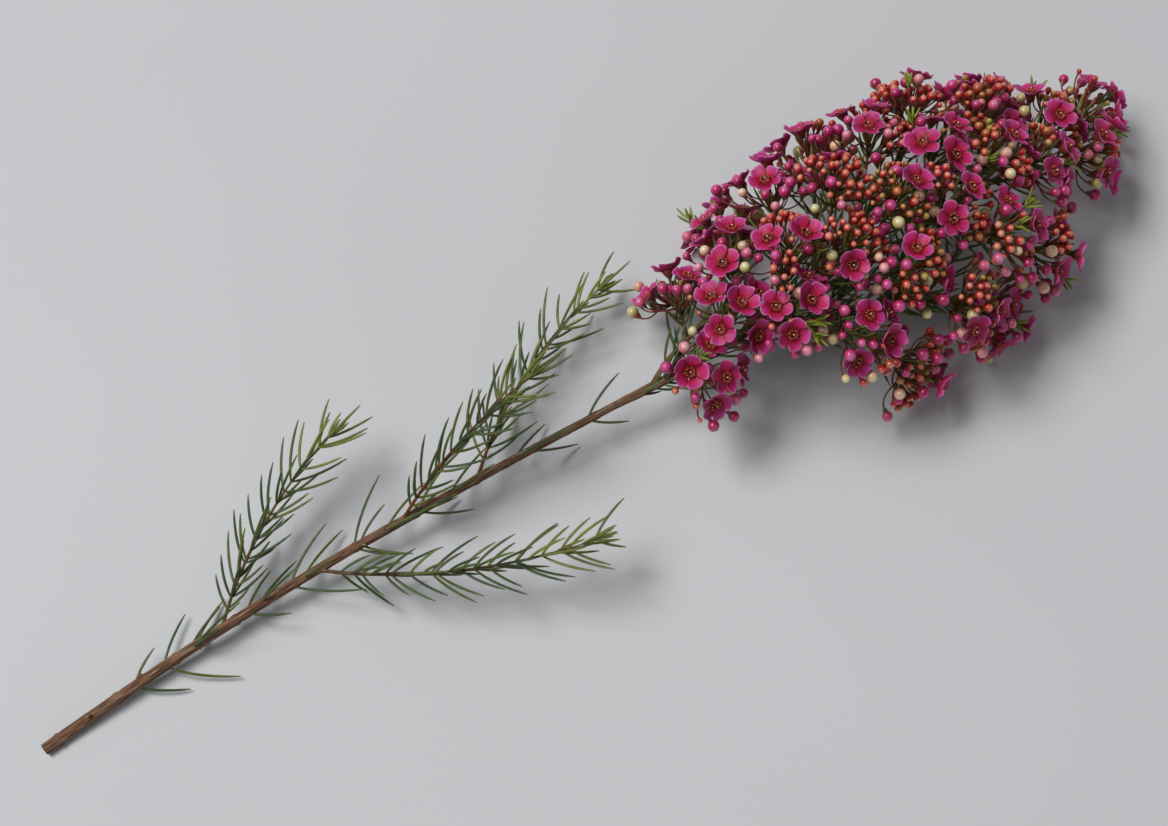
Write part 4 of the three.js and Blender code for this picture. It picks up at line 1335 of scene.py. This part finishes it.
# %% The cup, its disc, the stamens and the style
CUP_UP = np.array([-4.7, -3.9, -3.0, -1.9, -0.9, 0.05, 0.3, 0.15, -0.35, -0.6, -0.55])
CUP_OUT = np.array([0.36, 0.5, 1.15, 1.9, 2.45, 2.85, 2.72, 2.5, 2.2, 1.3, 0.45])
CUP_SIDES = 15
STAMEN = {
    "out": [2.58, 2.66, 2.48, 2.2, 1.96, 1.74, 1.58], "up": [0.0, 0.6, 1.15, 1.45, 1.55, 1.52, 1.4],
    "radii": [0.14, 0.12, 0.11, 0.13, 0.36, 0.4, 0.18], "sides": 5, "finish": 2}
TOOTH = {
    "out": [2.54, 2.62, 2.48, 2.24], "up": [-0.1, 0.45, 0.9, 1.15], "radii": [0.24, 0.22, 0.17, 0.05],
    "sides": 4, "finish": 2}
STYLE = {
    "out": [0.0, 0.05, 0.12, 0.16, 0.18, 0.2], "up": [-0.6, 0.6, 1.7, 2.1, 2.35, 2.55],
    "radii": [0.2, 0.16, 0.14, 0.36, 0.44, 0.2], "sides": 6, "finish": 3}


def cup_skins(found):
    """Turned cups: a narrow foot, a wall that flares to the rim, and a disc sunk inside it, with five ribs
    by the cosine of five times the angle."""
    at, axis, tint, twist = gathered(found, "at", "axis", "tint", "twist")
    heights = np.broadcast_to(CUP_UP, (len(found), len(CUP_UP)))
    ribs = 0.05 * np.cos(5 * circle(CUP_SIDES))
    return [turned(at, axis, heights, CUP_OUT, CUP_SIDES, tint, 0.5, twist, ribs=ribs, finish=1)]


def ring_of_threads(found, count, form, shift=0.0):
    """Threads in a ring: each path goes through at + out * radial + up * axis, as its form says."""
    at, axis, twist = gathered(found, "at", "axis", "twist", times=count)
    turn = twist + np.tile(circle(count, shift), len(found))
    radial = round_about(across(axis), turn + limb_draw.uniform(-0.1, 0.1, len(turn)))
    grow = limb_draw.uniform(0.85, 1.12, len(turn))[:, None, None]
    out, up = (np.array(form[key])[None, :, None] for key in ("out", "up"))
    paths = at[:, None] + out * radial[:, None] + grow * up * axis[:, None]
    tint = limb_draw.uniform(0, 1, len(turn))
    return tubes(paths, form["radii"], form["sides"], tint, finish=form["finish"])


def stamen_skins(found):
    """Ten stamens with anthers, ten short teeth between them, and the style with its knob."""
    stamens = ring_of_threads(found, 10, STAMEN)
    teeth = ring_of_threads(found, 10, TOOTH, math.pi / 10)
    teeth["reach"] = teeth["reach"] * 0.5  # so that they take the colour of the threads
    return [stamens, teeth, ring_of_threads(found, 1, STYLE)]


# %% [markdown]
# ## Needles
# A needle is three-angled, about a millimetre thick, and ends in a fine hooked tip.

# %% The form of needles


def needle_skins(found, finish=0):
    """Tubes along the bent paths, with a hooked point. The section 1 + 0.16 cos(3 angle) is a rounded
    triangle, and half a sine to the power 0.7 makes the needle thinner at its root and tip."""
    if not found:
        return []
    path, tint, young = gathered(found, "path", "tint", "young")
    paths = bezier(path, np.linspace(0, 1, 8))
    ahead = unit(paths[:, -1] - paths[:, -2])
    tip = paths[:, -1] + 0.5 * ahead - 0.25 * across(ahead)[0]
    paths = np.concatenate([paths, tip[:, None]], 1)
    share = np.linspace(0, 1, paths.shape[1])
    radii = NEEDLE_RADIUS * (0.62 + 0.55 * np.sin(math.pi * np.clip(share + 0.08, 0, 1)) ** 0.7)
    radii[-2:] = [0.26, 0.05]
    section = 1 + 0.16 * np.cos(3 * circle(6))
    return [tubes(paths, radii, 6, tint, young, section, finish)]


for organ in organs:
    if organ["kind"] == "needle":
        late = organ["limb"] == "shoot" and organ["share"] > 0.75
        young = {"spray": 0.25, "sprig": 0.9}.get(organ["limb"], 0.45 if late else 0)
        organ["young"] = float(np.clip(limb_draw.uniform(-0.2, 0.35) + young, 0, 1))

# %% [markdown]
# ## The pieces of the plant
# Now each limb gets its skins: the axis with its bark, cut end and needles, then side branches and shoots,
# and last the sprays. A limb's pieces stand for its solid.

# %% Organs of each limb


def organs_of(node, kind):
    """The organs of one kind on one limb."""
    return [o for o in organs if o["node"] == node and o["kind"] == kind]


def make_needles(node):
    """The needle piece of a limb of wood, if it has needles."""
    found = organs_of(node, "needle")
    if found:
        make_piece(f"{node}_needles", node, needle_skins(found), [FINISH["needle"]])


def make_leafy(name, node, green_skins):
    """Green stalks and the needles on them as one piece with two finishes."""
    skins = green_skins + needle_skins(organs_of(node, "needle"), finish=1)
    make_piece(name, node, skins, [FINISH["stalk"], FINISH["needle"]])


# %% [markdown]
# ### The woody axis
# The bark is a tube with hundreds of rings. Its radius is the axis's own, plus low ridges that wind along
# it, and a swelling with two scars wherever a pair of needles grew. Stubs are left where small twigs were
# trimmed away, and the cut end shows pale wood inside the bark.

# %% Bark, scars, stubs and the cut end
BARK_STEPS, BARK_SIDES = 420, 24
BARK_SHARE = 0.94  # the bark's radius without its relief, as a share of the axis's
SCAR_STEP = 15  # millimetres between pairs of leaf scars


def bark_relief(u, phi):
    """Relief in millimetres over shares u and angles phi: winding sines for ridges, shorter ones for
    flakes, and bells for scars in crossed pairs."""
    x = STEM["length"] * u[:, None]
    ridges = 0.07 * np.sin(5 * phi + 0.05 * x) + 0.05 * np.sin(9 * phi - 0.03 * x + 1.3)
    flakes = 0.05 * np.sin(2 * phi + 0.31 * x) * np.sin(0.47 * x + 3 * phi) + 0.05 * np.sin(0.13 * x + phi)
    scars = np.zeros_like(ridges)
    for i, at in enumerate(np.arange(SCAR_STEP / 2, STEM["length"], SCAR_STEP)):
        bell = np.exp(-(((x - at) / 1.2) ** 2)) - 0.5 * np.exp(-(((x - at - 1.6) / 0.8) ** 2))
        scars = scars + bell * (0.14 + 0.34 * np.cos(phi - i * math.pi / 2) ** 6)
    return ridges + flakes + scars


def bark_skins():
    """The axis's line, and rings of its radius plus relief, which grows fainter as the axis thins."""
    u = np.linspace(0, 1, BARK_STEPS)
    phi = circle(BARK_SIDES)
    out = round_about([side[:, None] for side in across(stem_heading(u))], phi)
    radius = stem_radius(u)[:, None]
    wide = (BARK_SHARE * radius + bark_relief(u, phi) * radius / STEM["cut_radius"])[..., None]
    rings = stem_point(u)[:, None] + wide * out
    grain = unbent(BARK_SIDES, wide, STEM["length"] * u)
    young = at_rings(np.clip(1.8 * u - 0.8, 0, 1), BARK_SIDES)
    return [lofted(rings[None], grain[None], u[None], 0.5, young)]


def stub_skins():
    """Tapered tubes that leave the axis's upper side steeply and end after two or three millimetres."""
    number = np.arange(9)
    u = 0.04 + 0.052 * number
    side, above = across(stem_heading(u))
    out = round_about((above, side), 1.5 * np.sin(GOLDEN_ANGLE * number))
    reach = (stem_radius(u) + 1.3 + 0.9 * np.cos(5 * number))[:, None]
    way = 0.6 * stem_heading(u) + 0.8 * out
    shares = np.linspace(0, 1, 6)[:, None]
    paths = stem_point(u)[:, None] + shares * (reach * way)[:, None]
    return [tubes(paths, [1.1, 1.0, 0.9, 0.8, 0.72, 0.6], 9, 0.1 * number)]


def cut_skins():
    """The cut face: rings that close on the pith, a hair in front of the bark's end."""
    shares = np.array([0.96, 0.93, 0.7, 0.45, 0.2, 0.06])
    heights = np.array([[-0.3, 0.05, 0.1, 0.12, 0.1, 0.06]])
    radii = BARK_SHARE * STEM["cut_radius"] * shares[None]
    facing = -stem_heading(np.zeros(1))
    made = turned(stem_point([0.0]), facing, heights, radii, BARK_SIDES, 0.0, 0.0, finish=1)
    made["edge"] = at_rings(shares, BARK_SIDES)[0]
    return [made]


skins = bark_skins() + stub_skins() + cut_skins()
make_piece("woody_stem_wood", "woody_stem", skins, [FINISH["bark"], FINISH["cut"]])
make_needles("woody_stem")
print("axis:", {k: v["triangles"] for k, v in made_pieces.items()})

# %% [markdown]
# ### Side branches, twigs and shoots
# These are young wood: smooth, brown-green, and thicker where they leave what carries them.

# %% Branch pieces


def branch_skins(name):
    """Tubes along the curves of one limb, flared at the root by an exponential and wavy with old knots. A
    shoot is drawn in to a fine tip by the eighth power of the share."""
    made = []
    for branch in (b for b in branches if b["name"] == name):
        path = sampled(branch["controls"], 36)[None]
        share = np.linspace(0, 1, 37)
        run = share * length_of(np.diff(path[0], axis=0)).sum()
        radii = 0.86 * ((1 - share) * branch["radii"][0] + share * branch["radii"][1])
        radii = radii * (1 + 0.5 * np.exp(-run / 3)) + 0.05 * np.sin(run * 0.7)
        if branch["kind"] == "shoot":
            radii = radii * (1 - 0.7 * share**8)
        tint, ripe = limb_draw.uniform(0, 1, 1), limb_draw.uniform(0.2, 0.8, 1)
        made.append(tubes(path, radii[None], 10, tint, ripe))
    return made


limbs = list(dict.fromkeys(branch["name"] for branch in branches))
for name in limbs:
    if name.startswith("side_branch"):
        make_piece(f"{name}_wood", name, branch_skins(name), [FINISH["bark"]])
        make_needles(name)
    else:
        make_leafy(f"{name}_stem_and_needles", name, branch_skins(name))
print("limbs:", len(limbs))

# %% [markdown]
# ### The sprays
# Each spray becomes three pieces: its stalks with their needles, its buds, and its blooms with their cups
# and stamens.

# %% Spray pieces


def spray_axis_skins(spray):
    """The middle stalk: a tube that tapers in a straight line from the twig's width."""
    corners = sampled(spray["axis"], SPRAY["steps"])
    corners[0] = corners[0] - 1.5 * spray["facing"]
    path = rounded(corners[None])
    radii = np.linspace(0.78, 0.46, path.shape[1])[None]
    return [tubes(path, radii, 8, limb_draw.uniform(0, 1, 1), limb_draw.uniform(0.2, 0.7, 1))]


for spray in sprays:
    name = spray["name"]
    blooms, buds = organs_of(name, "bloom"), organs_of(name, "bud")
    stalked = blooms + buds + organs_of(name, "sprig")
    make_leafy(f"{name}_stalks_and_needles", name, spray_axis_skins(spray) + stalk_skins(stalked))
    if buds:
        make_piece(f"{name}_buds", name, bud_skins(buds), [FINISH["bud"]])
    if blooms:
        skins = petal_skins(blooms) + cup_skins(blooms) + stamen_skins(blooms)
        finishes = [FINISH[key] for key in ("petal", "cup", "stamen", "style")]
        make_piece(f"{name}_blooms", name, skins, finishes)
most = max(made_pieces, key=lambda key: made_pieces[key]["triangles"])
print("pieces:", len(made_pieces), "triangles:", sum(p["triangles"] for p in made_pieces.values()))
print("largest piece:", most, made_pieces[most]["triangles"])
print("inside out:", [key for key, p in made_pieces.items() if p["volume"] <= 0])

# %% [markdown]
# ## Surface, light and camera
# The stem lies on a plain pale sheet that curves up far away, as the paper sweep of a photo studio does, so
# no edge shows from any side. A broad sun gives soft light that is even all over the sheet, a softbox adds
# glints to the waxy buds, and a faint grey light comes from all round. The camera looks down on the stem.
# It turns so that the stem runs up across the picture, and steps back until the whole stem fits.

# %% The surface
SHEET = {"half": 3.6, "flat": 2.4, "rise": 0.8, "points": 73}


def sheet_finish():
    """Plain pale grey, with the faintest unevenness."""
    made, tree = new_finish("pale_sheet", Roughness=0.75, Specular_IOR_Level=0.3)
    coordinates = add(tree, "ShaderNodeTexCoord", out="Object")
    blots = add(tree, "ShaderNodeTexNoise", {"Vector": coordinates, "Scale": 3.0, "Detail": 2.0})
    tone = ramp(tree, blots, [(0.3, (204, 205, 207)), (0.7, (208, 209, 211))])
    tree.links.new(tone, shader_of(made).inputs["Base Color"])
    return made


def sheet_points():
    """A square grid whose height is rise * ((distance - flat) / (half - flat))^2 past the flat middle."""
    line = np.linspace(-SHEET["half"], SHEET["half"], SHEET["points"])
    y, x = np.meshgrid(line, line, indexing="ij")
    past = np.maximum(np.hypot(x, y) - SHEET["flat"], 0) / (SHEET["half"] - SHEET["flat"])
    return np.stack([x, y, SHEET["rise"] * past**2], -1).reshape(-1, 3)


sheet_mesh = bpy.data.meshes.new("pale_sheet")
squares = grid_squares(SHEET["points"])
sheet_mesh.from_pydata(sheet_points(), [], squares.tolist())
sheet_mesh.polygons.foreach_set("use_smooth", np.ones(len(squares), bool))
sheet_mesh.materials.append(sheet_finish())
put("pale_sheet", sheet_mesh)

# %% The camera
PICTURE = (1168, 826)
LEAN = math.radians(33)  # the stem's slope in the picture
LOOK_DOWN = math.radians(72)
LENS, SENSOR = 70.0, 36.0
MARGIN = 0.93  # the share of the picture that the stem may take up
FIRST_BACK, ROUNDS = 1.2, 30  # the first guess of the distance in metres, and the rounds that mend it


def camera_axes():
    """Right, up and back of the camera: right turns the stem to its slope, back rises by the look down."""
    right = np.array([math.cos(LEAN), -math.sin(LEAN), 0])
    ground = np.array([math.sin(LEAN), math.cos(LEAN), 0])
    back = math.sin(LOOK_DOWN) * UP - math.cos(LOOK_DOWN) * ground
    return np.stack([right, np.cross(back, right), back])


def framed(points, axes):
    """The place from which all the points fill the margin: their picture places are x / depth and y / depth
    times the lens, and the place is shifted and moved back until their box is centred and fits."""
    half = np.array([SENSOR, SENSOR * PICTURE[1] / PICTURE[0]]) / LENS / 2
    eye = points.mean(0) + FIRST_BACK * axes[2]
    for _ in range(ROUNDS):
        local = (points - eye) @ axes.T
        picture = local[:, :2] / -local[:, 2:] / half
        low, high = picture.min(0), picture.max(0)
        depth = -local[:, 2].mean()
        eye = eye + ((low + high) / 2 * half * depth) @ axes[:2]
        eye = eye + axes[2] * depth * ((high - low).max() / 2 / MARGIN - 1)
    return eye


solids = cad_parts.values()
solid_points = np.concatenate([np.array([v.co for v in solid.data.vertices]) for solid in solids])
axes = camera_axes()
eye = framed(solid_points, axes)
camera_data = bpy.data.cameras.new("camera")
camera_data.lens, camera_data.sensor_width = LENS, SENSOR
camera = put("camera", camera_data)
camera.matrix_world = Matrix([[*axes[:, i], eye[i]] for i in range(3)] + [[0, 0, 0, 1]])
bpy.context.scene.camera = camera
print("camera at", eye.round(3), "m")

# %% The light
AIM = Vector((0.08, 0.0, 0.03))


def lamp(name, kind, place_, power, **settings):
    """A light of a kind and power that faces the stem."""
    data = bpy.data.lights.new(name, kind)
    data.energy = power
    for key, value in settings.items():
        setattr(data, key, value)
    made = put(name, data)
    made.location = place_
    made.rotation_euler = (AIM - Vector(place_)).to_track_quat("-Z", "Y").to_euler()


lamp("broad_sun", "SUN", (-0.35, 0.9, 1.5), 1.58, angle=math.radians(22))
lamp("softbox", "AREA", (-0.7, 0.5, 1.5), 10, size=0.8)
world = bpy.data.worlds.new("studio")
world.use_nodes = True
background = world.node_tree.nodes["Background"].inputs
background["Color"].default_value = colour((226, 228, 232))
background["Strength"].default_value = 0.2
bpy.context.scene.world = world
bpy.context.scene.view_settings.view_transform = "Standard"
